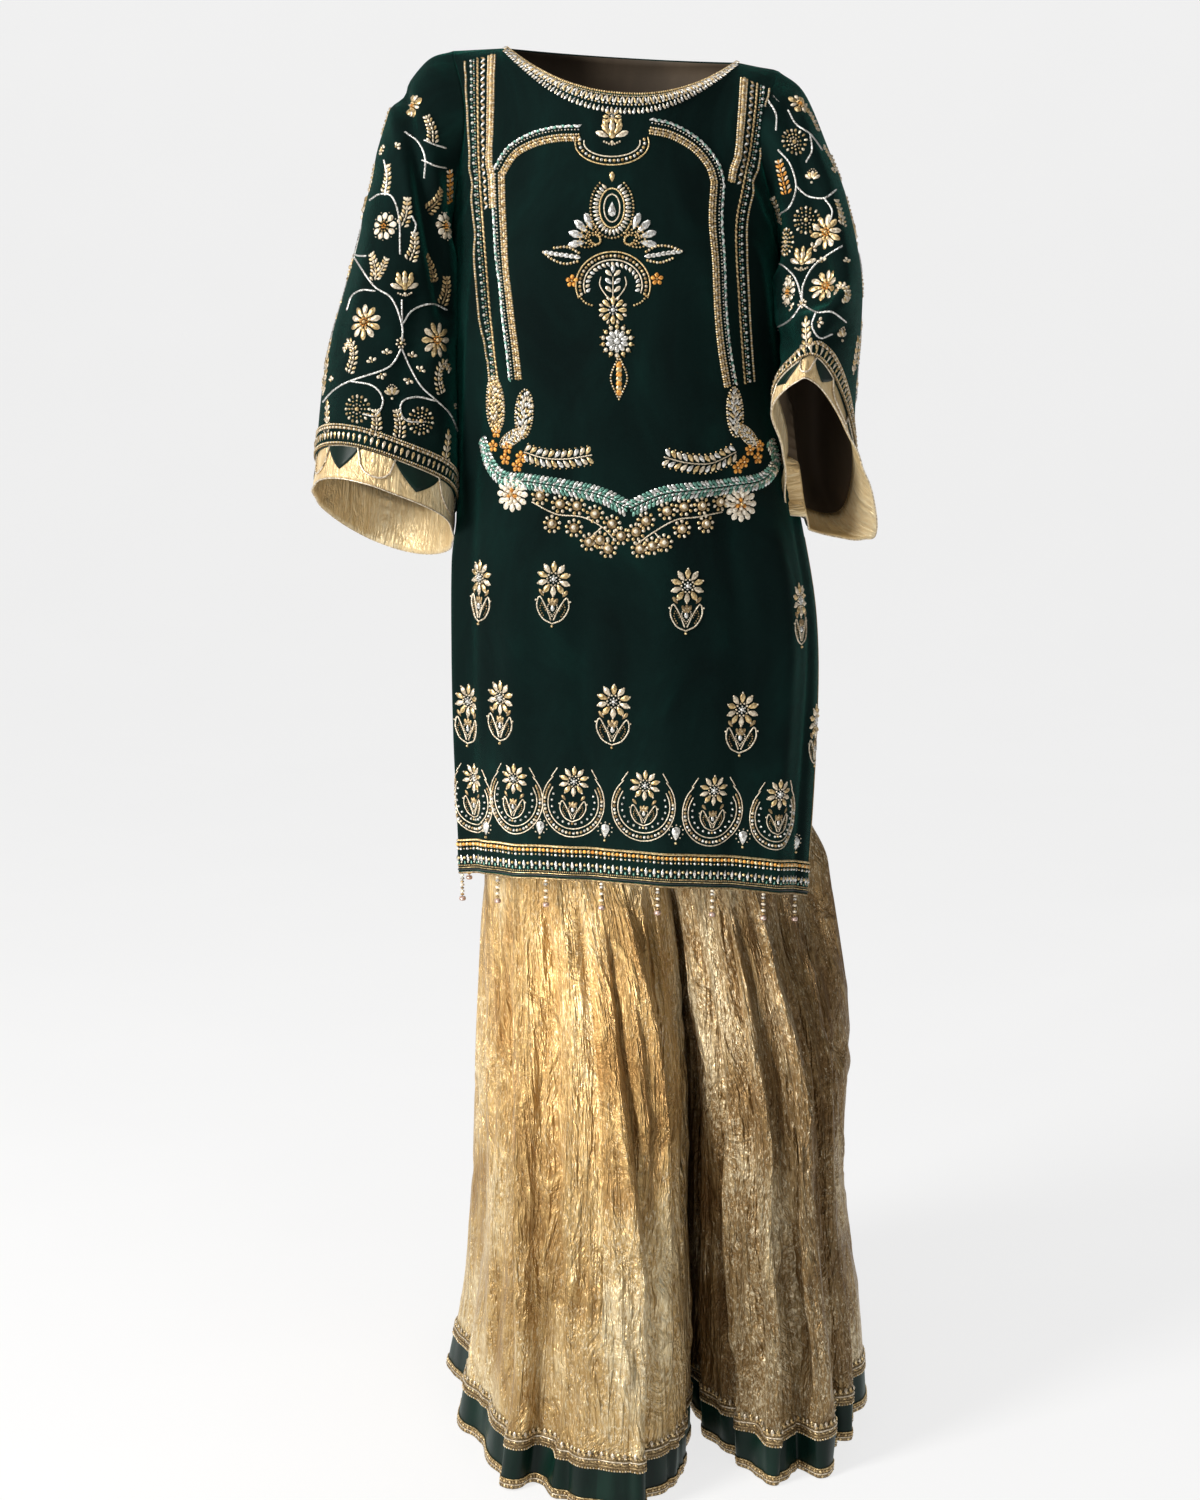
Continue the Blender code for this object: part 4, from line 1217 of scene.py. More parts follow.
def leaf(outline, ridge):
    """A raised leaf: its right-hand outline from foot to tip, and the heights along its middle line."""
    right = [(x, y, 0.0) for x, y in outline]
    left = [(-x, y, 0.0) for x, y in reversed(outline[1:-1])]
    rim = right + left
    spine = [(0.0, y, z) for y, z in ridge]
    points = np.array(rim + spine)
    count = len(rim)
    faces = []
    for index in range(count):
        after = (index + 1) % count
        here, there = (
            count + int(np.argmin(np.abs(points[count:, 1] - points[corner][1])))
            for corner in (index, after)
        )
        faces.append((index, after, here))
        if here != there:
            faces.append((after, there, here))
    return points, np.array(faces)


SHAPES = {
    "bead": dome(6, 0.78, 0.62),
    "seed": dome(4, 0.70, 0.65),
    "disc": dome(8, 0.86, 0.75),
    "petal": leaf(
        ((0, -0.5), (0.34, -0.22), (0.5, 0.12), (0.30, 0.40), (0, 0.5)), ((-0.2, 0.8), (0.15, 1.0))
    ),
    "drop": leaf(
        ((0, -0.5), (0.40, -0.38), (0.5, -0.12), (0.28, 0.22), (0, 0.5)), ((-0.2, 1.0), (0.2, 0.6))
    ),
    "bar": leaf(((0, -0.5), (0.5, -0.36), (0.5, 0.36), (0, 0.5)), ((-0.34, 1.0), (0.34, 1.0))),
}


class Beadwork:
    """Collects small shapes on one cloth, then joins them into one mesh."""

    def __init__(self, ground):
        self.ground = ground
        self.items = {shape: [] for shape in SHAPES}
        self.extra = []

    def put(self, shape, point, normal, way, size, colour):
        """One shape whose length points along way; size is width, length and height in millimetres."""
        self.items[shape].append((*point, *normal, *way, *size, BEAD_ORDER.index(colour)))

    def add_mesh(self, points, faces, colour):
        self.extra.append((np.asarray(points), np.asarray(faces), BEAD_ORDER.index(colour)))

    def tube(self, line, radius, colour, sides=5):
        """A plain cord along a line of points."""
        line = np.asarray(line)
        along = np.gradient(line, axis=0)
        along /= np.linalg.norm(along, axis=1, keepdims=True) + 1e-12
        helper = np.where(np.abs(along[:, 2:]) > 0.9, [[1.0, 0, 0]], [[0, 0, 1.0]])
        side = np.cross(along, helper)
        side /= np.linalg.norm(side, axis=1, keepdims=True)
        other = np.cross(along, side)
        turns = np.radians(ring_turns(sides))[None, :, None]
        rings = line[:, None] + radius * (np.cos(turns) * side[:, None] + np.sin(turns) * other[:, None])
        faces = []
        count = len(line)
        for row in range(count - 1):
            for index in range(sides):
                after = (index + 1) % sides
                a = row * sides + index
                b = row * sides + after
                faces += [(a, b, a + sides), (b, b + sides, a + sides)]
        for row, way in ((0, -1), (count - 1, 1)):
            for index in range(1, sides - 1):
                cap = (row * sides, row * sides + index, row * sides + index + 1)
                faces.append(cap[::way])
        self.add_mesh(rings.reshape(-1, 3), faces, colour)

    def build(self, name):
        points, faces, looks = [], [], []
        start = 0
        for shape, rows in self.items.items():
            if not rows:
                continue
            model, triangles = SHAPES[shape]
            rows = np.array(rows)
            normal = rows[:, 3:6] / np.linalg.norm(rows[:, 3:6], axis=1, keepdims=True)
            way = rows[:, 6:9] - normal * np.sum(rows[:, 6:9] * normal, axis=1, keepdims=True)
            way /= np.linalg.norm(way, axis=1, keepdims=True) + 1e-12
            side = np.cross(way, normal)
            scaled = model[None] * rows[:, None, 9:12] * MM
            placed = (
                rows[:, None, 0:3]
                + scaled[..., 0:1] * side[:, None]
                + scaled[..., 1:2] * way[:, None]
                + (scaled[..., 2:3] + BEAD_LIFT) * normal[:, None]
            )
            points.append(placed.reshape(-1, 3))
            shift = start + np.arange(len(rows))[:, None, None] * len(model)
            faces.append((triangles[None] + shift).reshape(-1, 3))
            looks.append(np.repeat(rows[:, 12].astype(int), len(triangles)))
            start += placed.shape[0] * placed.shape[1]
        for extra_points, extra_faces, look in self.extra:
            points.append(extra_points)
            faces.append(extra_faces + start)
            looks.append(np.full(len(extra_faces), look))
            start += len(extra_points)
        points = np.concatenate(points)
        faces = np.concatenate(faces)
        looks = np.concatenate(looks)
        mesh = bpy.data.meshes.new(name)
        mesh.vertices.add(len(points))
        mesh.vertices.foreach_set("co", points.astype(np.float32).ravel())
        mesh.loops.add(faces.size)
        mesh.loops.foreach_set("vertex_index", faces.astype(np.int32).ravel())
        mesh.polygons.add(len(faces))
        mesh.polygons.foreach_set("loop_start", np.arange(0, faces.size, 3, dtype=np.int32))
        used = sorted(set(looks.tolist()))
        for look in used:
            mesh.materials.append(BEAD_LOOKS[BEAD_ORDER[look]])
        slots = np.searchsorted(used, looks).astype(np.int32)
        mesh.polygons.foreach_set("material_index", slots)
        mesh.update(calc_edges=True)
        mesh.validate()
        mesh.shade_smooth()
        obj = add_object(name, mesh)
        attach(obj, "root")
        print("beadwork", name, len(faces), "triangles")
        return obj


BEAD_LIFT = -0.0001  # the shapes' feet sink a little into the cloth


def unit(vectors):
    return vectors / (np.linalg.norm(vectors, axis=-1, keepdims=True) + 1e-12)


def cycle(values, index):
    return values[index % len(values)] if isinstance(values, (tuple, list)) else values


def lay_row(work, line, outs, spacing, shape, size, colours, turn=90):
    """Shapes at even spacing in millimetres along a line; turn 90 lays their length along it."""
    total = distances(line)
    count = max(int(round(total[-1] / (spacing * MM))), 1)
    at = (np.arange(count) + 0.5) * total[-1] / count
    spots = looked_up(at, total, line)
    facing = unit(looked_up(at, total, outs))
    ahead = unit(looked_up(at, total, unit(np.gradient(line, axis=0))))
    across = np.cross(facing, ahead)
    for index in range(count):
        angle = np.radians(cycle(turn, index))
        way = across[index] * np.cos(angle) + ahead[index] * np.sin(angle)
        dims = size[index % len(size)] if isinstance(size, list) else size
        work.put(cycle(shape, index), spots[index], facing[index], way, dims, cycle(colours, index))


def seen_line(work, pixels, step=3.0, behind=False):
    """A smooth line through pixels of the frame, laid on the cloth."""
    points, outs = [], []
    for pixel in smooth_path(pixels, step):
        point, normal = work.ground.seen(pixel, behind)
        if point is not None:
            points.append(point)
            outs.append(normal)
    return np.array(points), np.array(outs)


PAST_EDGE = 0.002  # stitches that would lie this far past the cloth's edge are left out


def past_edge(spot, place, out):
    """Whether a spot lies outside the cloth, going by its nearest place on it."""
    aside = spot - place
    return (aside - out * aside.dot(out)).length > PAST_EDGE


def ribbon(work, pixels, rows, behind=False):
    """Rows of shapes beside a smooth line of pixels; a row begins with its distance in millimetres."""
    line, outs = seen_line(work, pixels, 2.0, behind)
    if len(line) < 4:
        return
    if behind:
        line = line[::-1]
        outs = outs[::-1]
    across = np.cross(outs, unit(np.gradient(line, axis=0)))
    for offset, *spec in rows:
        spots = [Vector(spot) for spot in line + across * offset * MM]
        found = [(spot, *work.ground.nearest(spot, Vector(out))) for spot, out in zip(spots, outs)]
        found = [(place, out) for spot, place, out in found if not past_edge(spot, place, out)]
        if len(found) < 4:
            continue
        points = np.array([place for place, _ in found])
        facing = np.array([out for _, out in found])
        lay_row(work, points, facing, *spec)


def strip_rows(work, grid, ring, flip, rows):
    """Rows of shapes along a strip of cloth; share 0 is its first row and turn 0 points to its last one."""
    outs = normals(grid, ring, flip)
    if ring:
        grid = np.concatenate([grid, grid[:, :1]], axis=1)
        outs = np.concatenate([outs, outs[:, :1]], axis=1)
    middle = grid.shape[1] // 2
    across = np.cross(outs[0, middle], grid[0, middle + 1] - grid[0, middle])
    if across @ (grid[-1, middle] - grid[0, middle]) < 0:
        grid = grid[:, ::-1]
        outs = outs[:, ::-1]
    for share, *spec in rows:
        line = between_rows(grid, share)
        out = unit(between_rows(outs, share))
        if spec[0] == "tube":
            work.tube(line + out * spec[1] * MM, spec[1] * MM, spec[2])
        else:
            lay_row(work, line, out, *spec)


def between_rows(grid, share):
    at = share * (len(grid) - 1)
    row = min(max(int(np.floor(at)), 0), len(grid) - 2)
    return grid[row] + (grid[row + 1] - grid[row]) * (at - row)


# Motifs as charts in millimetres: shape, x, y, turn (0 up, positive clockwise), size, colour


def dot(shape, wide, high, colour, y=0):
    """One round shape on the middle line of a chart."""
    return [(shape, 0, y, 0, (wide, wide, high), colour)]


def petals(count, middle, size, colour, x=0.0, y=0.0, start=0.0, sweep=360.0, shape="petal"):
    chart = []
    for index in range(count):
        share = index / count if sweep == 360 else index / (count - 1)
        turn = start + sweep * share
        angle = np.radians(turn)
        spot = (x + middle * np.sin(angle), y + middle * np.cos(angle))
        chart.append((shape, *spot, turn, size, cycle(colour, index)))
    return chart


def stroke(points, width, colour, shape="bar"):
    """A couched thread through chart points."""
    line = smooth_path(points, width * 1.3)
    chart = []
    for first, second in zip(line, line[1:]):
        middle = (first + second) / 2
        turn = np.degrees(np.arctan2(second[0] - first[0], second[1] - first[1]))
        chart.append((shape, *middle, turn, (width, width * 2.0, width * 0.8), colour))
    return chart


def sprig(points, leaf_size, colour):
    """A curved stem with a pair of leaves at each chart point after the first, and one at its tip."""
    chart = stroke(points, 1.1, "pale")
    length = leaf_size[1]
    for index in range(1, len(points)):
        (x0, y0), (x1, y1) = points[index - 1], points[index]
        ahead = np.degrees(np.arctan2(x1 - x0, y1 - y0))
        leaves = [(ahead - 48, 0.62, index), (ahead + 48, 0.62, index)]
        if index == len(points) - 1:
            leaves.append((ahead, 0.9, 0))
        for turn, reach, which in leaves:
            x = x1 + length * reach * np.sin(np.radians(turn))
            y = y1 + length * reach * np.cos(np.radians(turn))
            chart.append(("petal", x, y, turn, leaf_size, cycle(colour, which)))
    return chart


def mirrored(chart):
    return [(shape, -x, y, -turn, size, colour) for shape, x, y, turn, size, colour in chart]


def both(chart):
    return chart + mirrored(chart)


GOLDEN_ANGLE = 137.5


def filled(wide, high, count, seed, looks=("gold", "pale", "antique", "gold"), size=(3.0, 5.6, 2.4)):
    """An oval filled with stitches that fan out from its middle line."""
    rng = np.random.default_rng(seed)
    chart = []
    for index in range(count):
        radius = np.sqrt((index + 0.5) / count)
        angle = index * GOLDEN_ANGLE
        x = wide * radius * np.sin(np.radians(angle)) + rng.uniform(-0.5, 0.5)
        y = high * radius * np.cos(np.radians(angle)) + rng.uniform(-0.5, 0.5)
        turn = np.degrees(np.arctan2(x * 1.4, abs(y) + 5)) + rng.uniform(-14, 14)
        chart.append(("petal", x, y, turn, size, cycle(looks, index)))
    return chart


def moved(chart, x, y, turn=0.0, scale=1.0):
    angle = np.radians(turn)
    made = []
    for shape, cx, cy, own, size, colour in chart:
        px = x + scale * (cx * np.cos(angle) + cy * np.sin(angle))
        py = y + scale * (-cx * np.sin(angle) + cy * np.cos(angle))
        made.append((shape, px, py, own + turn, tuple(scale * value for value in size), colour))
    return made


def stitch(work, chart, pixel, turn=0.0, scale=1.0, behind=False):
    """Lays a chart on the cloth that is seen at a pixel of the frame; the back has it the other way round."""
    point, normal = work.ground.seen(pixel, behind)
    if point is None:
        return
    if behind:
        chart = mirrored(chart)
        turn = -turn
    stitch_at(work, moved(chart, 0, 0, turn, scale), point, normal)


def stitch_at(work, chart, point, normal):
    up = Vector((0, 0, 1))
    up = (up - normal * up.dot(normal)).normalized()
    right = up.cross(normal)
    for shape, x, y, turn, size, colour in chart:
        spot = point + right * (x * MM) + up * (y * MM)
        place, out = work.ground.nearest(spot, normal)
        if past_edge(spot, place, out):
            continue
        angle = np.radians(turn)
        way = right * np.sin(angle) + up * np.cos(angle)
        work.put(shape, place, out, way, size, colour)


# The motifs, each in its own size in millimetres


def oval(wide, high, low, top, count=9):
    """Points along an oval, from angle low to angle top, clockwise from the bottom."""
    turns = np.radians(np.linspace(low, top, count))
    return [(-wide * np.sin(turn), -high * np.cos(turn)) for turn in turns]


def dotted(points, spacing, shape, size, colour, turned=0):
    """Shapes at even spacing along a smooth chart line; turned 0 points them along it."""
    line = smooth_path(points, spacing)
    ahead = np.gradient(line, axis=0)
    chart = []
    for index, (spot, way) in enumerate(zip(line, ahead)):
        turn = np.degrees(np.arctan2(way[0], way[1])) + turned
        chart.append((cycle(shape, index), *spot, turn, size, cycle(colour, index)))
    return chart


def ring_of(count, radius, size, colour, x=0.0, y=0.0, start=0.0, shape="seed"):
    return petals(count, radius, size, colour, x, y, start, shape=shape)


def round_flower(petal_count, radius, petal_size, colour, centre, x=0.0, y=0.0):
    """Petals round a beaded centre, with a bead at each petal's tip."""
    chart = petals(petal_count, radius * 0.66, petal_size, colour, x, y)
    bead = radius * 0.15
    chart += ring_of(petal_count, radius * 0.97, (bead, bead, 1.2), "pale", x, y)
    chart += ring_of(petal_count, radius * 0.36, (bead, bead, 1.8), "pale", x, y, 180 / petal_count)
    chart += ring_of(6, radius * 0.19, (radius * 0.14, radius * 0.14, 2.0), centre, x, y)
    chart.append(("disc", x, y, 0, (radius * 0.26, radius * 0.26, 2.6), centre))
    return chart


def outlined_leaf(points, fill, outline="pale"):
    """A leaf with a couched outline and a few stitches inside."""
    chart = stroke(points, 1.2, outline)
    middle = np.mean(points, axis=0)
    inner = [(x * 0.55 + middle[0] * 0.45, y * 0.55 + middle[1] * 0.45) for x, y in points[1:-1]]
    return chart + dotted(inner, 2.0, "seed", (1.5, 1.5, 1.1), fill)


TULIP_LEAF = ((0, -21), (-8, -17), (-13, -8), (-11, 0), (-5, -9), (-1, -18))
TULIP = (
    both(outlined_leaf(TULIP_LEAF, "antique"))
    + petals(3, 4.2, (3.4, 8.0, 1.4), "antique", 0, -8, -28, 56)
    + dotted(((0, -2), (-4, -8), (0, -15)), 1.8, "seed", (1.5, 1.5, 1.2), "pale")
    + dotted(((0, -2), (4, -8), (0, -15)), 1.8, "seed", (1.5, 1.5, 1.2), "pale")
    + [("drop", 0, -8.0, 0, (3.4, 6.5, 2.2), "silver"), ("bead", 0, -23, 0, (2.4, 2.4, 1.8), "gold")]
    + both([("petal", 9.5, 3.0, 38, (3.2, 7.0, 1.4), "antique")])
    + both([("bead", 14.0, -3.0, 0, (1.8, 1.8, 1.4), "pale")])
)
BOOTI = round_flower(10, 15.5, (5.4, 9.6, 2.4), ("gold", "pale"), "silver", 0, 14)
BOOTI += moved(TULIP, 0, -2, 0, 1.12)

CUP_WIDE = 35
CUP_HIGH = 38
CUP_OPEN = 138
CUP = (
    stroke(oval(CUP_WIDE, CUP_HIGH, -CUP_OPEN, CUP_OPEN, 15), 1.3, "pale")
    + stroke(oval(CUP_WIDE - 6.5, CUP_HIGH - 9, -CUP_OPEN + 14, CUP_OPEN - 14, 15), 1.3, "pale")
    + dotted(
        oval(CUP_WIDE - 2.6, CUP_HIGH - 4.2, -96, 96, 13),
        4.1, "bead", (3.5, 3.5, 2.4), ("pale", "silver", "antique"),
    )
    + dotted(oval(CUP_WIDE - 3.0, CUP_HIGH - 4.4, -122, -100, 4), 3.2, "petal", (2.6, 4.2, 1.5), "antique")
    + dotted(oval(CUP_WIDE - 3.0, CUP_HIGH - 4.4, 100, 122, 4), 3.2, "petal", (2.6, 4.2, 1.5), "antique")
    + dotted(oval(CUP_WIDE - 11, CUP_HIGH - 14.5, -112, 112, 11), 7.0, "bead", (2.9, 2.9, 2.3), "silver")
    + both(stroke(((-25.5, 28.0), (-21.5, 34.0), (-19.0, 38.0)), 1.2, "pale"))
)
CRESCENT = CUP + moved(round_flower(10, 16.5, (5.4, 10.0, 2.6), ("gold", "pale"), "silver"), 0, 24)
CRESCENT += moved(TULIP, 0, 2, 0, 1.1)
CRYSTAL = (
    [("drop", 0, 0, 180, (8.0, 13.5, 4.2), "silver")]
    + ring_of(10, 6.6, (1.7, 1.7, 1.3), "pale", 0, 1.6)
    + dot("bead", 2.6, 2.0, "gold", -8.6)
)

DAISY = petals(10, 12.0, (6.4, 12.6, 2.2), ("pale", "gold"))
DAISY += petals(8, 6.2, (3.6, 6.4, 2.6), "gold", start=20)
DAISY += ring_of(8, 3.6, (2.0, 2.0, 2.6), "orange") + dot("disc", 4.6, 3.2, "gold")
PALE_FLOWER = petals(9, 9.8, (6.4, 8.4, 2.2), ("cream", "pale")) + ring_of(9, 5.0, (2.2, 2.2, 2.2), "gold")
PALE_FLOWER += ring_of(5, 2.0, (2.2, 2.2, 2.6), "orange")
PALE_FLOWER += ring_of(9, 14.2, (1.5, 1.5, 1.1), "pale", start=20)
SQUARE_FLOWER = petals(4, 8.6, (8.2, 10.5, 2.2), "gold", start=45)
SQUARE_FLOWER += petals(4, 7.8, (4.2, 8.4, 2.8), "pale")
SQUARE_FLOWER += ring_of(8, 3.6, (2.2, 2.2, 2.8), "gold") + dot("disc", 3.8, 3.2, "orange")
ROSETTE = ring_of(16, 12.6, (3.0, 4.2, 1.8), ("pale", "antique"), shape="petal")
ROSETTE += ring_of(12, 8.4, (2.4, 2.4, 2.0), "gold")
ROSETTE += ring_of(8, 4.8, (2.3, 2.3, 2.3), "pale") + dot("disc", 4.6, 2.8, "gold")
SMALL_ROSETTE = ring_of(7, 4.2, (2.6, 3.2, 2.0), "pale", shape="petal")
SMALL_ROSETTE += dot("disc", 3.6, 2.6, "gold")
LOTUS = petals(5, 9.5, (5.4, 12.5, 2.2), ("pale", "gold"), 0, -3, -68, 136)
LOTUS += petals(3, 13.5, (4.6, 9.5, 2.6), "gold", 0, -2, -26, 52)
LOTUS += [("drop", 0, 2, 0, (6.0, 11.0, 3.0), "gold"), ("bead", 0, -6.5, 0, (3.4, 3.4, 2.2), "pale")]
LOTUS += dotted(((-7, -6), (0, -8.5), (7, -6)), 2.4, "bead", (2.3, 2.3, 1.8), "pale")
BUD = petals(5, 5.6, (3.8, 8.0, 2.0), ("pale", "gold"), 0, -2, -55, 110)
BUD += dot("bead", 3.0, 2.0, "pale", -4.5)
BUD += dotted(((-5, 6), (0, 9.5), (5, 6)), 2.4, "seed", (1.7, 1.7, 1.4), "pale")
TREFOIL = petals(3, 3.6, (3.3, 4.8, 1.8), "pale", 0, 0, -62, 124)
TREFOIL += dot("seed", 2.0, 1.6, "gold")
LEAF_CLUSTER = []
for tier in range(5):
    colour = ("pale", "gold")[tier % 2]
    LEAF_CLUSTER += both([("petal", 4.4 - 0.5 * tier, -12 + 6 * tier, 40, (4.2, 8.4, 2.0), colour)])
LEAF_CLUSTER += [("petal", 0, 17, 0, (4.2, 9.0, 2.0), "gold")] + stroke(((0, -18), (0, 14)), 1.4, "pale")


def bead_spray(points, colour, accent):
    """A tapering spray of short stitches set in pairs along a curved stem."""
    line = smooth_path(points, 4.6)
    ahead = np.gradient(line, axis=0)
    chart = []
    for index, (spot, way) in enumerate(zip(line, ahead)):
        turn = np.degrees(np.arctan2(way[0], way[1]))
        reach = 4.6 * (1 - 0.60 * index / len(line))
        for side in (-1, 1):
            angle = np.radians(turn + side * 90)
            x = spot[0] + reach * np.sin(angle)
            y = spot[1] + reach * np.cos(angle)
            chart.append(("petal", x, y, turn + side * 46, (2.9, 5.8, 1.9), cycle((colour, accent), index)))
        chart.append(("petal", *spot, turn, (2.2, 4.6, 1.9), colour))
    return chart


CURVED_SPRAY = bead_spray(((4, -16), (7, -4), (4, 8), (-5, 13), (-12, 6)), "pale", "gold")
SPRAY = bead_spray(((0, -13), (2, -2), (0, 12)), "pale", "gold")
WARM_SPRAY = bead_spray(((4, -16), (1, -4), (-4, 14)), "orange", "pale")
FAINT_SPRAY = bead_spray(((0, -13), (2, -2), (0, 12)), "antique", "gold")
THREE_SPRAYS = SPRAY + moved(SPRAY, 9, -4, 48, 0.8)

# The pieces of the chest
MEDALLION_OVAL = oval(11, 17, -180, 180, 17)
MEDALLION = stroke(MEDALLION_OVAL, 1.5, "gold") + stroke(oval(7, 12, -180, 180, 13), 1.3, "pale")
MEDALLION += dotted(oval(14.6, 21, -152, 152, 17), 3.4, "petal", (2.9, 6.0, 2.0), ("silver", "pale"), 90)
MEDALLION += dotted(oval(19.0, 26, -146, 146, 17), 3.0, "bead", (2.3, 2.3, 1.8), ("gold", "antique"))
MEDALLION += [("drop", 0, -1, 0, (7.0, 13.0, 3.4), "silver"), ("petal", 0, 27, 0, (5.0, 9.0, 2.4), "gold")]
FEATHER = [("petal", 0, 9.5, 0, (5.6, 13.0, 2.4), "silver")]
FEATHER += dotted(oval(4.2, 8.6, -165, 165, 9), 2.6, "seed", (2.0, 2.0, 1.6), "gold")
WING = []
for feather in range(4):
    spread = 22 + 26 * feather
    angle = np.radians(spread)
    WING += moved(FEATHER, 5.0 * np.sin(angle), 5.0 * np.cos(angle), spread)
SIDE_LEAF = dotted(((0, -13), (0, 15)), 4.4, "petal", (4.6, 7.0, 2.4), "silver")
for edge in (((-4, -14), (-7.6, -3), (-5.2, 9), (0, 18)), ((4, -14), (7.6, -3), (5.2, 9))):
    SIDE_LEAF += dotted(edge, 3.0, "bead", (2.9, 2.9, 2.0), ("gold", "pale"))


def arch(wide, high, reach, count=17):
    """Points over the top of an oval."""
    return [(x, -y) for x, y in oval(wide, high, -reach, reach, count)]


HOOD = (
    stroke(arch(37, 33, 112), 1.6, "gold")
    + dotted(arch(33, 29, 108), 4.0, "bead", (3.4, 3.4, 2.2), ("gold", "antique", "pale"))
    + stroke(arch(29, 25, 108), 1.5, "pale")
    + dotted(arch(25, 20.5, 104, 15), 4.6, "petal", (3.4, 5.6, 2.0), ("silver", "pale"), 60)
    + both(dotted(((33, -11), (28, -17), (21, -20)), 3.0, "bead", (2.6, 2.6, 2.0), "gold"))
)
HOOD_LEAF = sprig(((0, -14), (0, -6), (0, 2), (0, 10)), (4.6, 9.0, 2.0), ("silver", "pale"))
HOOD_LEAF += both(stroke(((0, -14), (7, -8), (13, 2), (12, 10)), 1.3, "pale"))
STAR = petals(8, 9.0, (5.0, 10.0, 2.2), "gold") + petals(8, 12.4, (3.0, 5.0, 1.8), "pale", start=22.5)
STAR += ring_of(8, 4.0, (2.6, 2.6, 2.6), "silver") + dot("disc", 5.0, 3.2, "silver")
SILVER_FLOWER = petals(10, 7.4, (5.2, 9.0, 2.6), "silver") + dot("disc", 7.0, 3.6, "silver")
SILVER_FLOWER += ring_of(14, 14.0, (4.6, 4.6, 2.4), ("gold", "pale"), shape="disc")
SILVER_FLOWER += ring_of(14, 16.9, (1.8, 1.8, 1.4), "gold")
POINTED_DROP = []
for side in (-1, 1):
    edge = ((0, 21), (7 * side, 6), (7.6 * side, -4), (0, -21))
    POINTED_DROP += dotted(edge, 2.9, "bead", (2.5, 2.5, 2.0), ("gold", "pale"))
POINTED_DROP += dotted(((0, 13), (0, -14)), 4.2, "petal", (6.4, 7.4, 2.4), ("orange", "gold"))
SMALL_FLOWER = petals(5, 3.8, (4.6, 5.6, 2.2), "orange") + dot("seed", 2.6, 2.8, "gold")
CREAM_FLOWER = petals(12, 13.6, (6.6, 10.0, 2.4), "cream")
CREAM_FLOWER += petals(10, 8.6, (5.6, 8.0, 3.2), ("cream", "pale"), start=12)
CREAM_FLOWER += petals(6, 4.0, (4.2, 5.6, 4.0), ("orange", "cream"))
CREAM_FLOWER += dot("disc", 4.0, 4.6, "gold")
RINGED_LEAF = ring_of(9, 6.2, (3.0, 3.6, 2.0), ("pale", "gold"), shape="petal")
RINGED_LEAF += [("disc", 0, 0, 0, (8.6, 8.6, 2.4), "antique"), ("disc", 0, 0.6, 0, (4.4, 4.4, 3.4), "cream")]
LOTUS_CUP = (
    stroke(oval(37, 22, -104, 104, 13), 1.5, "gold")
    + dotted(oval(32.5, 18, -100, 100, 13), 4.2, "bead", (3.6, 3.6, 2.4), ("gold", "silver"))
    + stroke(oval(28, 14, -98, 98, 13), 1.4, "pale")
    + moved(LOTUS, 0, 7, 0, 1.1)
    + moved(round_flower(8, 9, (3.8, 6.4, 2.0), "gold", "silver"), 0, 25)
)
CLUSTER = filled(11, 26, 74, 3)
CLUSTER += dotted(oval(12.5, 28, -172, 172, 15), 3.2, "bead", (2.6, 2.6, 2.2), ("pale", "gold"))
SILVER_CLUSTER = filled(8, 23, 46, 4, ("silver", "pale", "silver", "gold"), (3.2, 6.0, 2.4))
SILVER_CLUSTER += dotted(oval(9.5, 25, -172, 172, 13), 3.2, "bead", (2.4, 2.4, 2.0), ("gold", "pale"))


# Beadwork of the kameez. Places are pixels of the photo's frame
CRESCENTS = ((474, 799), (513, 800), (573, 803), (644, 807), (713, 812), (779, 816), (816, 818))
CRYSTALS = ((486, 828), (540, 828), (605, 831), (676, 834), (743, 838), (796, 843))
BOOTIS = (
    (553, 595), (687, 602), (801, 616), (479, 593), (500, 713), (613, 717), (741, 725), (468, 716),
    (815, 736),
)
BORDER_ROWS = (
    (0.98, 1.5, "bar", (2.4, 3.0, 2.0), "gold", 80),
    (0.86, 4.3, ("disc", "disc"), [(4.6, 4.6, 2.8), (4.2, 4.2, 2.4)], ("gold", "orange")),
    (0.72, 4.3, ("bead", "bead"), [(3.6, 3.6, 2.8), (2.4, 2.4, 1.8)], ("silver", "gold")),
    (0.44, 4.3, ("drop", "bead"), [(4.4, 10.0, 3.2), (3.8, 3.8, 2.8)], ("silver", "gold"), 0),
    (0.30, 4.3, ("bead", "drop"), [(2.6, 2.6, 2.2), (3.2, 6.0, 2.2)], ("pale", "green"), 0),
    (0.20, 2.2, "bead", (2.2, 2.2, 1.8), "antique"),
    (0.13, "tube", 0.6, "gold"),
    (0.07, "tube", 0.9, "dark"),
)
NECK_ROWS = (
    (0.93, 2.5, "bead", (2.7, 2.7, 2.4), "gold"),
    (0.76, 1.9, "seed", (1.9, 1.9, 1.6), ("pale", "gold")),
    (0.52, 2.7, "petal", (3.0, 8.4, 2.2), ("silver", "cream", "gold"), (165, 195)),
    (0.26, 3.6, "bead", (2.6, 2.6, 2.0), ("gold", "silver")),
    (-0.02, 4.4, "petal", (3.2, 7.2, 2.0), ("pale", "silver"), (168, 192)),
)
LINE_OF_BEADS = (2.5, "bead", (2.6, 2.6, 2.0), ("gold", "pale"))
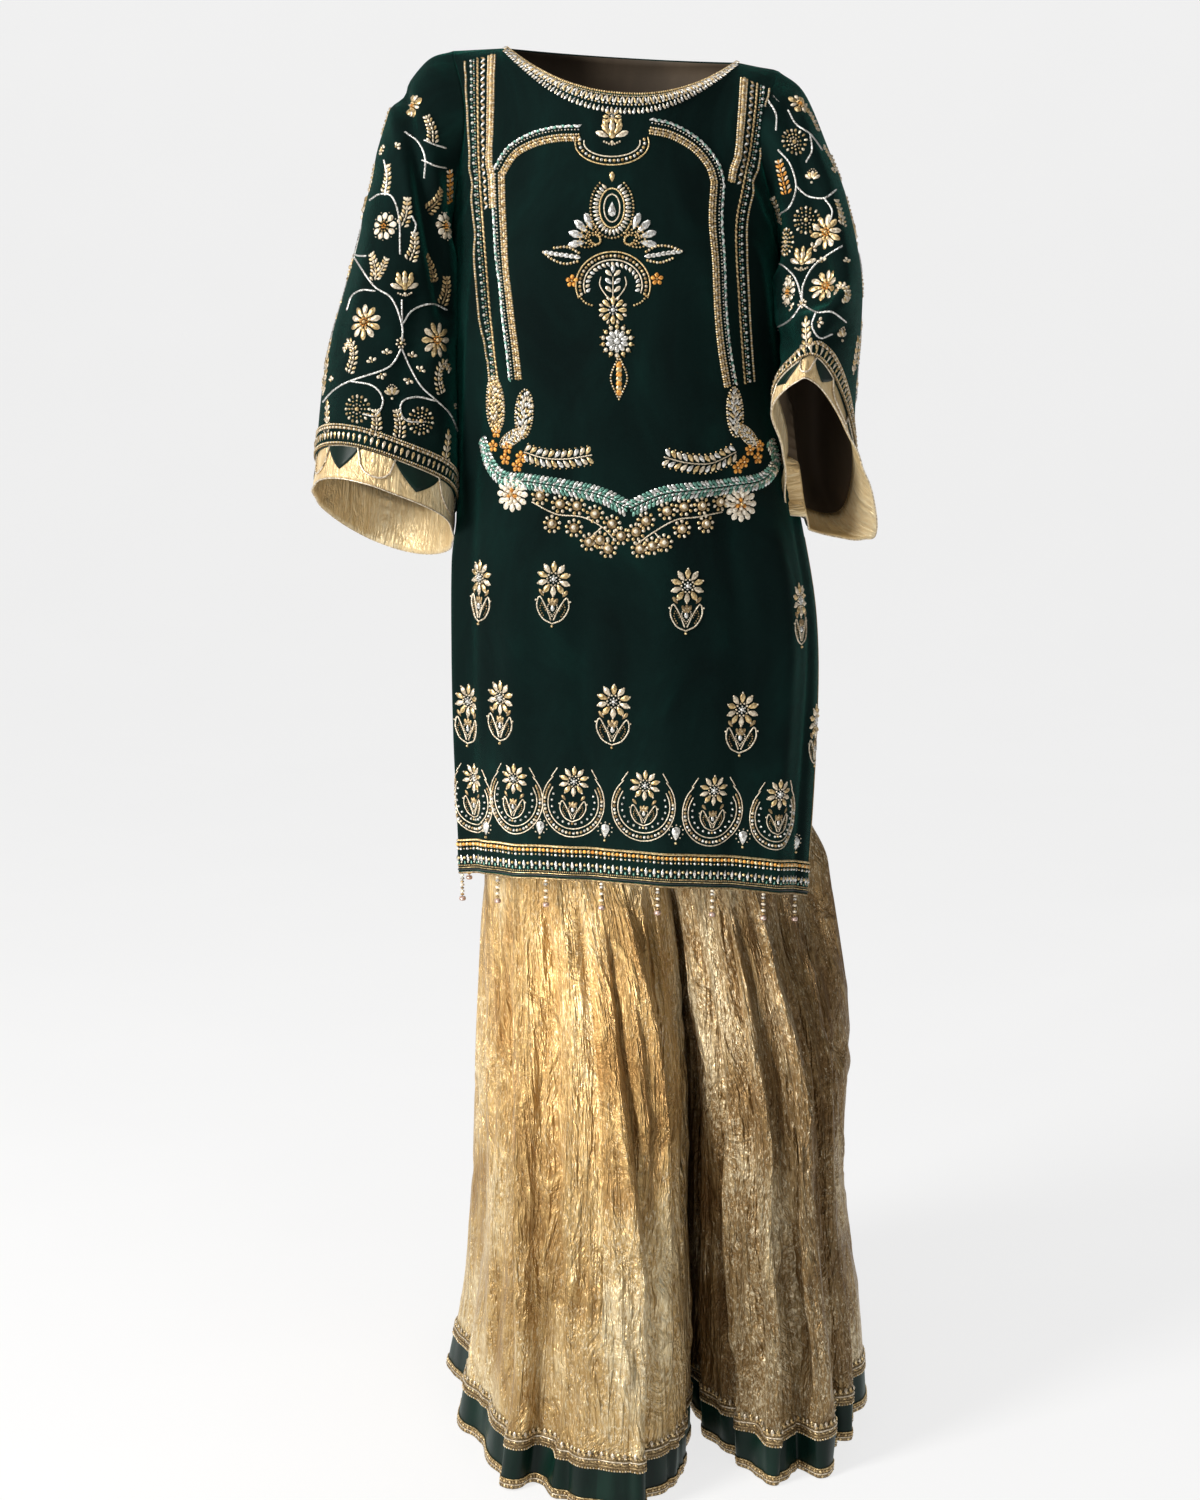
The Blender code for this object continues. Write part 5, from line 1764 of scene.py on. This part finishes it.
STRAP_ROWS = (
    (-15.0, *LINE_OF_BEADS),
    (-8.5, 4.0, ("bead", "seed"), [(3.6, 3.6, 2.2), (2.0, 2.0, 1.6)], ("silver", "green")),
    (-5.4, 2.8, "seed", (1.9, 1.9, 1.5), ("green", "silver", "gold")),
    (-1.4, 2.5, "bar", (2.0, 3.6, 1.8), ("gold", "antique"), (62, 118)),
)
STRAP_TOP_ROWS = (
    (4.0, 4.2, "petal", (2.8, 6.4, 1.8), ("antique", "silver"), (40, -40)),
    (10.0, *LINE_OF_BEADS),
    (13.2, 2.8, "disc", (4.4, 4.4, 2.2), ("gold", "pale", "gold")),
    (16.5, *LINE_OF_BEADS),
)
ARCH_ROWS = (
    (-7.0, 3.0, "petal", (2.9, 7.2, 2.2), ("silver", "silver", "green"), (68, 112)),
    (-3.4, 3.4, "seed", (2.0, 2.0, 1.6), ("silver", "pale")),
    (1.5, 2.5, "bead", (2.6, 2.6, 2.2), ("gold", "pale")),
    (4.4, 2.6, "bar", (2.6, 4.0, 2.0), ("gold", "antique", "pale"), (60, 120)),
    (7.2, 2.5, "bead", (2.5, 2.5, 2.0), ("gold", "gold", "pale")),
)
STRAP_LEFT = ((479, 58), (479, 104), (480, 160), (483, 210), (487, 260), (491, 310), (495, 350), (500, 388))
STRAP_RIGHT = ((756, 83), (754, 110), (749, 150), (742, 186), (735, 230), (738, 300), (741, 345), (744, 384))
STRAP_TOP_SHARE = 4
ARCH_LEFT = ((498, 172), (499, 210), (502, 260), (507, 310), (512, 350), (515, 380))
ARCH_TOP_LEFT = ((499, 172), (512, 152), (532, 140), (556, 134), (580, 133))
ARCH_TOP_RIGHT = ((650, 126), (672, 131), (696, 145), (712, 164), (718, 182))
ARCH_RIGHT = ((718, 182), (716, 220), (719, 262), (721, 310), (725, 350), (731, 386))
GARLAND = ((482, 438), (489, 462), (503, 478), (530, 482), (562, 487), (600, 495), (628, 509))
GARLAND_RIGHT = ((770, 440), (776, 462), (762, 480), (730, 486), (698, 490), (662, 495), (630, 509))
GARLAND_ROWS = (
    (-5.2, 4.4, "petal", (3.8, 8.4, 2.4), ("green", "silver", "silver", "green"), 140),
    (5.2, 4.4, "petal", (3.8, 8.4, 2.4), ("silver", "silver", "green", "green"), 40),
    (-1.7, 3.4, "petal", (2.8, 5.4, 2.8), ("silver", "green"), 115),
    (1.7, 3.4, "petal", (2.8, 5.4, 2.8), ("green", "silver"), 65),
)
VINE_STEMS = (
    ((532, 502), (556, 514), (582, 517), (602, 527), (616, 541)),
    ((602, 527), (590, 538)),
    ((722, 512), (698, 517), (676, 520), (654, 532), (636, 545)),
    ((654, 532), (664, 542)),
)
VINE_LEAVES = (
    (540, 496), (552, 524), (560, 504), (574, 528), (577, 506), (595, 514), (600, 540), (612, 524),
    (621, 536), (608, 549), (589, 542), (636, 532), (646, 521), (640, 549), (652, 546), (664, 543),
    (667, 511), (684, 507), (682, 529), (702, 506), (706, 524), (720, 502),
)
LEAF_SPRIGS = (
    ((524, 452), (544, 458), (566, 459), (592, 455)),
    ((736, 452), (712, 463), (688, 463), (664, 457)),
)
VINE_STEM_ROWS = ((0, 1.9, "bar", (1.5, 3.0, 1.4), "pale", (80, 100)),)
LEAF_SPRIG_ROWS = (
    (0, 1.9, "bar", (1.4, 2.8, 1.4), "pale", (80, 100)),
    (-5.0, 6.2, "petal", (4.8, 9.4, 2.4), ("silver", "pale", "gold"), 142),
    (5.0, 6.2, "petal", (4.8, 9.4, 2.4), ("pale", "gold", "silver"), 38),
    (-9.6, 6.2, "seed", (2.2, 2.2, 1.8), "gold"),
    (9.6, 6.2, "seed", (2.2, 2.2, 1.8), "gold"),
)
SMALL_FLOWERS = (
    (496, 432), (493, 446), (507, 448), (505, 459), (521, 457), (517, 466), (760, 446), (750, 450),
    (744, 462), (738, 468), (758, 458), (572, 281), (657, 279),
)
CHEST_MOTIFS = (
    (LOTUS_CUP, (612, 142)), (moved(MEDALLION, 0, 0, 0, 1.12), (612, 208)), (HOOD, (613, 285)),
    (HOOD_LEAF, (613, 287)), (STAR, (613, 310)), (SILVER_FLOWER, (617, 341)), (POINTED_DROP, (619, 378)),
    (CREAM_FLOWER, (512, 494)), (CREAM_FLOWER, (741, 504)), (CLUSTER, (495, 404)),
    (moved(SILVER_CLUSTER, 0, 0, 8), (524, 414)), (moved(SILVER_CLUSTER, 0, 0, -6), (735, 412)),
    (moved(SILVER_CLUSTER, 0, 0, 60, 0.7), (512, 438)), (moved(SILVER_CLUSTER, 0, 0, -50, 0.7), (748, 436)),
    (moved(SIDE_LEAF, 0, 0, -82, 1.1), (563, 255)), (moved(SIDE_LEAF, 0, 0, 82, 1.1), (662, 254)),
    (mirrored(moved(WING, 0, 0, 0, 1.35)), (596, 240)), (moved(WING, 0, 0, 0, 1.35), (629, 240)),
)
# The rows on the skirt: motif, places and scale, all turned with the lean of the hem
SKIRT_MOTIFS = ((CRESCENT, CRESCENTS, 0.95), (CRYSTAL, CRYSTALS, 1.15), (BOOTI, BOOTIS, 1.16))
SKIRT_TURN = 2.5
SLIT_EDGING = 0.0008


def sewn_kameez(facing):
    behind = facing == "back"
    work = Beadwork(grounds["kameez_" + facing])
    strip_rows(work, lines["hem_" + facing][0], False, lines["hem_" + facing][1], BORDER_ROWS)
    for chart, pixels, scale in SKIRT_MOTIFS:
        for pixel in pixels:
            stitch(work, chart, pixel, SKIRT_TURN, scale, behind)
    if not behind:
        for edge in kameez_edges.values():
            slit = edge[edge[:, 2] < SLIT_TOP]
            work.tube(slit[np.argsort(slit[:, 2])] + (0, -SLIT_EDGING, 0), SLIT_EDGING, "antique")
    return work


def sewn_chest():
    work = Beadwork(grounds["kameez_front"])
    grid, flip = lines["neck"]
    strip_rows(work, grid, False, flip, NECK_ROWS)
    for path, side in ((STRAP_LEFT, -1), (STRAP_RIGHT, 1)):
        ribbon(work, path, beside(STRAP_ROWS, side))
        ribbon(work, path[:STRAP_TOP_SHARE], beside(STRAP_TOP_ROWS, side))
    for path, side in ((ARCH_LEFT, -1), (ARCH_TOP_LEFT[::-1], -1), (ARCH_TOP_RIGHT, 1), (ARCH_RIGHT, 1)):
        ribbon(work, path, beside(ARCH_ROWS, side))
    ribbon(work, GARLAND, GARLAND_ROWS)
    ribbon(work, GARLAND_RIGHT, GARLAND_ROWS)
    for path in VINE_STEMS:
        ribbon(work, path, VINE_STEM_ROWS)
    for pixel in VINE_LEAVES:
        stitch(work, RINGED_LEAF, pixel, 0, 1.22)
    for path in LEAF_SPRIGS:
        ribbon(work, path, LEAF_SPRIG_ROWS)
    for pixel in SMALL_FLOWERS:
        stitch(work, SMALL_FLOWER, pixel)
    for chart, pixel in CHEST_MOTIFS:
        stitch(work, chart, pixel)
    return work


def beside(rows, side):
    """The same rows on the other side of the middle; the lines of pixels run downwards."""
    return tuple((offset * -side, *spec) for offset, *spec in rows)


# Beadwork of the sleeves
SLEEVE_VINE = (1.9, "bar", (1.9, 3.3, 1.5), "silver", (82, 98))
VINES = {
    "right": (
        ((354, 257), (373, 285), (392, 299), (402, 325), (402, 343)),
        ((447, 310), (432, 304), (413, 310), (402, 325)),
        ((375, 291), (362, 290), (352, 296), (347, 310)),
        ((401, 349), (394, 362), (383, 370), (350, 381), (334, 390), (323, 402)),
        ((350, 381), (373, 386), (383, 400), (376, 415), (363, 414)),
        ((402, 349), (410, 367), (421, 386), (436, 400), (450, 414), (458, 433)),
        ((436, 401), (418, 397), (403, 401), (401, 413), (408, 421), (424, 422)),
        ((370, 200), (380, 194), (392, 197), (399, 218), (400, 254)),
        ((384, 160), (387, 178), (385, 195)), ((405, 132), (418, 142), (425, 158), (424, 178)),
        ((424, 140), (436, 145), (446, 148)), ((422, 160), (436, 166), (446, 168)),
        ((402, 325), (402, 300)), ((349, 247), (356, 255), (366, 256)), ((412, 216), (416, 226), (412, 238)),
    ),
    "left": (
        ((842, 246), (826, 256), (812, 268), (803, 286), (802, 304)),
        ((776, 262), (786, 268), (796, 280), (802, 300)), ((802, 304), (816, 312), (832, 312), (846, 322)),
        ((802, 304), (792, 318), (780, 326), (770, 328)), ((816, 312), (812, 326), (820, 338), (832, 334)),
        ((778, 150), (790, 164), (796, 186), (790, 206), (780, 214)),
        ((796, 186), (808, 196), (824, 198), (836, 190)), ((788, 110), (796, 124), (810, 134), (822, 150)),
        ((810, 134), (812, 150), (806, 162)), ((768, 100), (776, 114), (776, 130)),
        ((824, 198), (832, 210), (830, 222)),
    ),
}
SLEEVE_MOTIFS = {
    "right": (
        (DAISY, (364, 322), 0), (DAISY, (437, 340), 20), (PALE_FLOWER, (384, 226), 0),
        (SQUARE_FLOWER, (413, 106), 8), (LOTUS, (405, 287), 0), (ROSETTE, (357, 409), 0),
        (ROSETTE, (421, 421), 10), (SMALL_ROSETTE, (401, 343), 0), (BUD, (392, 394), 0),
        (LEAF_CLUSTER, (327, 420), -10), (LEAF_CLUSTER, (447, 449), 8), (CURVED_SPRAY, (349, 355), 0),
        (mirrored(CURVED_SPRAY), (443, 376), 0), (THREE_SPRAYS, (373, 266), -18), (SPRAY, (413, 246), 12),
        (SPRAY, (386, 178), 0), (SPRAY, (430, 128), -8), (SPRAY, (405, 211), 12),
        (WARM_SPRAY, (450, 186), 0), (SPRAY, (375, 423), 4), (SPRAY, (398, 423), -4),
        (TREFOIL, (387, 354), 0), (TREFOIL, (372, 362), -20), (TREFOIL, (381, 374), 160),
        (TREFOIL, (412, 357), 10), (TREFOIL, (420, 371), 30), (TREFOIL, (409, 379), 200),
        (TREFOIL, (331, 381), -10), (TREFOIL, (455, 408), 30), (FAINT_SPRAY, (436, 200), 40),
        (FAINT_SPRAY, (430, 268), -20), (PALE_FLOWER, (446, 226), 0), (SMALL_ROSETTE, (382, 150), 0),
        (FAINT_SPRAY, (348, 232), 10), (FAINT_SPRAY, (445, 290), 10), (TREFOIL, (396, 147), 40),
    ),
    "left": (
        (DAISY, (826, 232), 0), (ROSETTE, (806, 220), 0), (ROSETTE, (786, 242), 0), (DAISY, (826, 286), 0),
        (PALE_FLOWER, (788, 292), 0), (LOTUS, (802, 262), 0), (SMALL_ROSETTE, (802, 304), 0),
        (BUD, (812, 178), 0), (FAINT_SPRAY, (824, 134), -14), (WARM_SPRAY, (782, 176), 0),
        (SPRAY, (840, 212), 10), (SPRAY, (777, 210), 0), (LEAF_CLUSTER, (806, 336), -14),
        (BUD, (842, 336), 0), (TREFOIL, (848, 262), 0), (SQUARE_FLOWER, (800, 104), 0),
        (ROSETTE, (794, 142), 0), (TREFOIL, (812, 248), 60), (SPRAY, (812, 118), -14),
        (TREFOIL, (834, 172), 20), (TREFOIL, (822, 262), -20), (TREFOIL, (788, 276), 160),
        (CURVED_SPRAY, (844, 292), 0), (TREFOIL, (818, 322), 100), (TREFOIL, (792, 308), -60),
        (SPRAY, (830, 158), -20),
    ),
}
CUFF_ROWS = (
    (0.05, 2.3, "bead", (2.3, 2.3, 1.8), ("pale", "gold")),
    (0.17, 2.9, "disc", (3.2, 3.2, 1.8), ("antique", "pale")),
    (0.53, 6.4, "drop", (4.4, 10.5, 2.6), ("gold", "pale"), 0),
    (0.42, 6.4, ("seed", "seed"), [(1.6, 1.6, 1.2), (1.4, 1.4, 1.2)], "antique"),
    (0.86, 2.5, "bead", (2.4, 2.4, 2.0), ("gold", "pale")),
    (0.97, 2.0, "seed", (2.0, 2.0, 1.6), "antique"),
)


# The outer side of the sleeve, which the photo doesn't show: motif, step down the sleeve and turn round it
OUTER_MOTIFS = (
    (DAISY, 1.75, 352), (ROSETTE, 2.9, 10), (DAISY, 3.9, 348), (LOTUS, 2.3, 8), (SMALL_ROSETTE, 3.3, 0),
    (SPRAY, 1.2, 4), (SPRAY, 2.2, 338), (SPRAY, 2.7, 346), (SPRAY, 3.9, 14), (TREFOIL, 3.5, 8),
    (TREFOIL, 3.6, 350), (BUD, 4.2, 2), (LEAF_CLUSTER, 4.2, 24), (CURVED_SPRAY, 3.3, 338), (SPRAY, 1.9, 14),
    (TREFOIL, 1.4, 344),
)
# The low back of the bent sleeve, which the motifs of the front don't reach
BACK_MOTIFS = {
    "right": (),
    "left": (
        (DAISY, 3.35, 284), (ROSETTE, 4.05, 264), (LOTUS, 3.9, 298), (SPRAY, 3.1, 304), (SPRAY, 3.55, 318),
        (SPRAY, 4.2, 320), (BUD, 3.1, 262), (TREFOIL, 3.6, 266), (TREFOIL, 4.3, 286),
        (CURVED_SPRAY, 3.65, 244), (SPRAY, 4.3, 242), (TREFOIL, 2.8, 276),
    ),
}
# Vines of these parts: ten times the step down the sleeve, and the turn
OUTER_SCALE = 10
BACK_VINES = {
    "right": (),
    "left": (
        ((26, 268), (31, 272), (35, 274), (38, 282), (43, 294)), ((35, 274), (38, 268), (42, 252)),
        ((38, 282), (36, 296), (37, 310)),
    ),
}
OUTER_VINES = (
    ((20, 350), (24, 358), (30, 360), (33, 360), (36, 352), (40, 341)), ((33, 360), (37, 368), (41, 375)),
    ((26, 360), (25, 370), (28, 378)), ((12, 352), (16, 360), (20, 361)), ((36, 352), (38, 357), (42, 355)),
)


def sewn_sleeve(side):
    work = Beadwork(grounds["sleeve_" + side])
    grid, flip = lines["cuff_" + side]
    strip_rows(work, grid, True, flip, CUFF_ROWS)
    for behind in (False, True):
        for path in VINES[side]:
            ribbon(work, path, ((0, *SLEEVE_VINE),), behind)
        for chart, pixel, turn in SLEEVE_MOTIFS[side]:
            stitch(work, chart, pixel, turn, 1.0, behind)
    grid, flip = lines["sleeve_" + side]
    outs = normals(grid, True, flip)
    for chart, step, turn in OUTER_MOTIFS + BACK_MOTIFS[side]:
        row = int(round(step / CUFF_BAND_STEPS[0] * (SLEEVE_ROWS - 1)))
        column = int(round(turn / 360 * SLEEVE_COLUMNS)) % SLEEVE_COLUMNS
        stitch_at(work, chart, Vector(grid[row, column]), Vector(outs[row, column]))
    for path in OUTER_VINES + BACK_VINES[side]:
        steps, turns = smooth_path(path, 0.5).T
        rows = steps / CUFF_BAND_STEPS[0] * (SLEEVE_ROWS - 1) / OUTER_SCALE
        line = on_ring(grid, rows, turns)
        facing = unit(on_ring(outs, rows, turns))
        lay_row(work, line, facing, *SLEEVE_VINE)
    return work


def on_ring(grid, rows, turns):
    """Points of a ring-shaped grid at broken rows and turns."""
    at = (turns / 360 * grid.shape[1]) % grid.shape[1]
    column = np.floor(at).astype(int)
    after = (column + 1) % grid.shape[1]
    row = np.clip(np.floor(rows).astype(int), 0, len(grid) - 2)
    share = (at - column)[:, None]
    down = (rows - row)[:, None]
    upper = grid[row, column] * (1 - share) + grid[row, after] * share
    lower = grid[row + 1, column] * (1 - share) + grid[row + 1, after] * share
    return upper * (1 - down) + lower * down


# Laces at the trouser hems, over the edges of the satin band
LACE_BASE = {"upper": (0.0, UPPER_LACE), "lower": (SATIN_DEPTH - LOWER_LACE, SATIN_DEPTH)}
LACE_LIFT = 0.0008
LACE_WALL = 0.0004
LACE_ROWS = {
    "upper": (
        (0.00, 6.4, "petal", (4.0, 7.5, 1.6), ("gold", "pale"), 180),
        (0.10, 3.2, "bead", (2.6, 2.6, 1.8), ("gold", "antique")),
        (0.34, "tube", 0.8, "pale"),
        (0.52, 4.2, "petal", (2.8, 5.4, 1.6), ("antique", "gold"), (60, 120)),
        (0.70, "tube", 0.8, "antique"),
        (0.94, 2.9, "bead", (2.4, 2.4, 1.8), ("gold", "pale")),
    ),
    "lower": (
        (0.06, "tube", 0.7, "gold"),
        (0.32, 3.6, "disc", (3.4, 3.4, 1.6), ("antique", "gold")),
        (0.58, "tube", 0.7, "pale"),
        (0.80, 4.4, "petal", (3.6, 4.6, 1.5), ("gold", "antique"), 0),
    ),
}


def make_laces(side):
    grid, flip = lines["leg_hem_" + side]
    for which, (top, bottom) in LACE_BASE.items():
        shares = np.linspace(top, bottom, 4) / SATIN_DEPTH
        strip = raised(np.stack([between_rows(grid, share) for share in shares]), True, flip, LACE_LIFT)
        strip[..., 2] = np.maximum(strip[..., 2], -SHOULDER_TO_FLOOR)
        name = "lace_" + which + "_" + side
        piece(
            name + "_ground", strip, LACE_WALL, (LACE_LOOK,), name,
            ring=True, flip=flip, outside=True,
        )
        work = Beadwork(None)
        strip_rows(work, strip, True, flip, LACE_ROWS[which])
        work.build(name + "_threads")


# Piping with bead tassels under the hem, and gold piping in scallops under the sleeves
STRAND = (
    ("bead", 3.0, "cream"), ("bead", 3.4, "silver"), ("bead", 2.8, "gold"), ("bead", 3.4, "cream"),
    ("bead", 2.8, "antique"), ("bead", 3.4, "cream"), ("bead", 3.0, "gold"), ("disc", 5.0, "rose"),
)
BEAD_PITCH = 1.72  # how far apart the strand's beads are, for their size
BEAD_WIDTH = 1.5


def make_tassels(facing):
    grid, flip = lines["hem_" + facing]
    work = Beadwork(grounds["kameez_" + facing])
    edge = grid[0]
    outs = normals(grid, False, flip)[0]
    work.tube(edge + outs * 0.0003 + np.array([0, 0, -0.0012]), 0.0010, "antique")
    total = distances(edge)
    scale = TASSEL_LENGTH / (sum(size for _, size, _ in STRAND) * BEAD_PITCH * MM)
    for share in np.linspace(*TASSEL_SPAN, TASSELS[facing]):
        at = share * total[-1]
        head = looked_up(at, total, edge)
        out = unit(looked_up(at, total, outs))
        spot = head + out * 0.0010 + np.array([0, 0, -0.0020])
        work.tube(np.array([spot, spot + (0, 0, -TASSEL_LENGTH + 0.003)]), 0.0003, "dark", 4)
        for shape, size, colour in STRAND:
            reach = size * BEAD_PITCH * scale * MM
            spot = spot + np.array([0, 0, -reach / 2])
            wide = size * BEAD_WIDTH
            for way in (1, -1):
                work.put(shape, spot, np.array([0, 0, way]), out, (wide, wide, size * scale * 0.8), colour)
            spot = spot + np.array([0, 0, -reach / 2])
    name = "tassels_" + facing
    work.build("bead_" + name)
    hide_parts(name)


def make_piping(side):
    line, flip = lines["piping_" + side]
    work = Beadwork(None)
    work.tube(np.concatenate([line, line[:1]]), 0.0012, "pale", 6)
    edge = lines["facing_" + side][0][-1]
    edge_outs = normals(lines["facing_" + side][0], True, flip)[-1]
    edge = edge + edge_outs * 0.0004
    work.tube(np.concatenate([edge, edge[:1]]), 0.0008, "pale", 6)
    work.build("cuff_piping_" + side)


for facing in FACINGS:
    sewn_kameez(facing).build("beadwork_" + facing)
    make_tassels(facing)
sewn_chest().build("beadwork_chest")
for side in SIDES:
    sewn_sleeve(side).build("beadwork_sleeve_" + side)
    make_laces(side)
    make_piping(side)


# Room, light and camera
FLOOR_HEIGHT = -SHOULDER_TO_FLOOR - 0.001
WALL_DISTANCE = 6.0
ROOM_WIDTH = 16.0
ROOM_FRONT = -7.0
ROOM_TOP = 5.0
COVE = 2.4
COVE_STEPS = 14
ROOM_GLOW = 0.735
WORLD_GLOW = 0.22

# Soft lamps: place, aim, size, power and colour. The leg's lamp has a beam's width in degrees as its size
MIDDLE = (0.02, 0, -0.7)
LAMPS = {
    "key": ((-2.5, -1.8, 0.6), MIDDLE, (0.9, 1.3), 112, (1.0, 0.985, 0.96)),
    "fill": ((2.2, -2.6, -0.1), MIDDLE, (1.6, 2.0), 2, (1, 1, 1)),
    "leg": ((-1.5, -2.0, -0.5), (-0.10, -0.16, -0.93), 11.5, 420, (1.0, 0.97, 0.92)),
    "top": ((0.0, -0.6, 1.7), (0, 0, -0.4), (1.6, 1.2), 16, (1, 1, 1)),
}


def make_room():
    """A plain pale floor that curves up into a plain wall."""
    profile = [(ROOM_FRONT, FLOOR_HEIGHT)]
    for step in range(COVE_STEPS + 1):
        turn = np.pi / 2 * step / COVE_STEPS
        back = WALL_DISTANCE - COVE + COVE * np.sin(turn)
        profile.append((back, FLOOR_HEIGHT + COVE - COVE * np.cos(turn)))
    profile.append((WALL_DISTANCE, ROOM_TOP))
    points = [(side * ROOM_WIDTH / 2, y, z) for y, z in profile for side in (-1, 1)]
    faces = [(2 * n, 2 * n + 1, 2 * n + 3, 2 * n + 2) for n in range(len(profile) - 1)]
    mesh = bpy.data.meshes.new("room")
    mesh.from_pydata(points, [], faces)
    mesh.shade_smooth()
    room = add_object("room", mesh)
    shader = Shader("room")
    place = shader.node("ShaderNodeTexCoord").outputs["Object"]
    grain = shader.noise(place, 3, 2)
    shader.colour(shader.ramp(grain, [(0.3, (0.245, 0.245, 0.245)), (0.7, (0.255, 0.255, 0.255))]))
    shader.set(Roughness=0.9, Specular_IOR_Level=0.0)
    shader.set(Emission_Color=(1, 1, 1, 1), Emission_Strength=ROOM_GLOW)
    mesh.materials.append(shader.material)


def add_light(name, place, aim, size, power, colour):
    spot = isinstance(size, float)
    lamp = bpy.data.lights.new(name, "SPOT" if spot else "AREA")
    if spot:
        lamp.spot_size = float(np.radians(size))
        lamp.spot_blend = 1.0
        lamp.shadow_soft_size = 0.15
    else:
        lamp.shape = "RECTANGLE"
        lamp.size, lamp.size_y = size
    lamp.energy = power
    lamp.color = colour
    holder = add_object(name, lamp)
    holder.location = place
    holder.rotation_euler = (Vector(aim) - Vector(place)).to_track_quat("-Z", "Y").to_euler()


def make_lights():
    for name, values in LAMPS.items():
        add_light(name, *values)
    world = bpy.data.worlds.new("studio")
    bpy.context.scene.world = world
    world.use_nodes = True
    background = world.node_tree.nodes["Background"].inputs
    background["Color"].default_value = (1, 1, 1, 1)
    background["Strength"].default_value = WORLD_GLOW


def make_camera():
    data = bpy.data.cameras.new("camera")
    data.sensor_width = SENSOR
    data.lens = FOCAL / FRAME_HEIGHT * SENSOR
    holder = add_object("camera", data)
    holder.location = CAMERA
    holder.rotation_euler = (np.radians(90 - CAMERA_DOWN), 0, 0)
    bpy.context.scene.camera = holder


make_room()
make_lights()
make_camera()
bpy.context.scene.view_settings.view_transform = "Standard"

HEM_TRIMS = {}
for side in SIDES:
    laces = tuple("lace_" + which + "_" + side for which in LACE_BASE)
    HEM_TRIMS[side] = ("satin_hem_" + side, *laces, *(lace + "_threads" for lace in laces))

# The flat cut of each sheet before it was sewn, its area, and the trims on it
FRONT_TRIMS = ("hem_border_front", "neck_band", "beads_front", "beads_chest", "tassels_front")
FLAT = {
    "kameez_front": ((0.46, 0.87), 0.385, FRONT_TRIMS),
    "kameez_back": ((0.46, 0.87), 0.383, ("hem_border_back", "beads_back", "tassels_back")),
    "sleeve_right": ((0.44, 0.46), 0.180, ("cuff_band_right", "beads_sleeve_right")),
    "sleeve_left": ((0.44, 0.42), 0.156, ("cuff_band_left", "beads_sleeve_left")),
    "cuff_facing_right": ((0.51, 0.060), None, ("cuff_edging_right", "cuff_piping_right")),
    "cuff_facing_left": ((0.44, 0.046), None, ("cuff_edging_left", "cuff_piping_left")),
    "trouser_waistband": ((0.76, 0.04), None, ()),
    "trouser_yoke": ((0.80, 0.235), None, ()),
    "leg_right": ((1.35, 0.78), 0.742, HEM_TRIMS["right"]),
    "leg_left": ((1.20, 0.78), 0.651, HEM_TRIMS["left"]),
}
for name, (flat, area, trims) in FLAT.items():
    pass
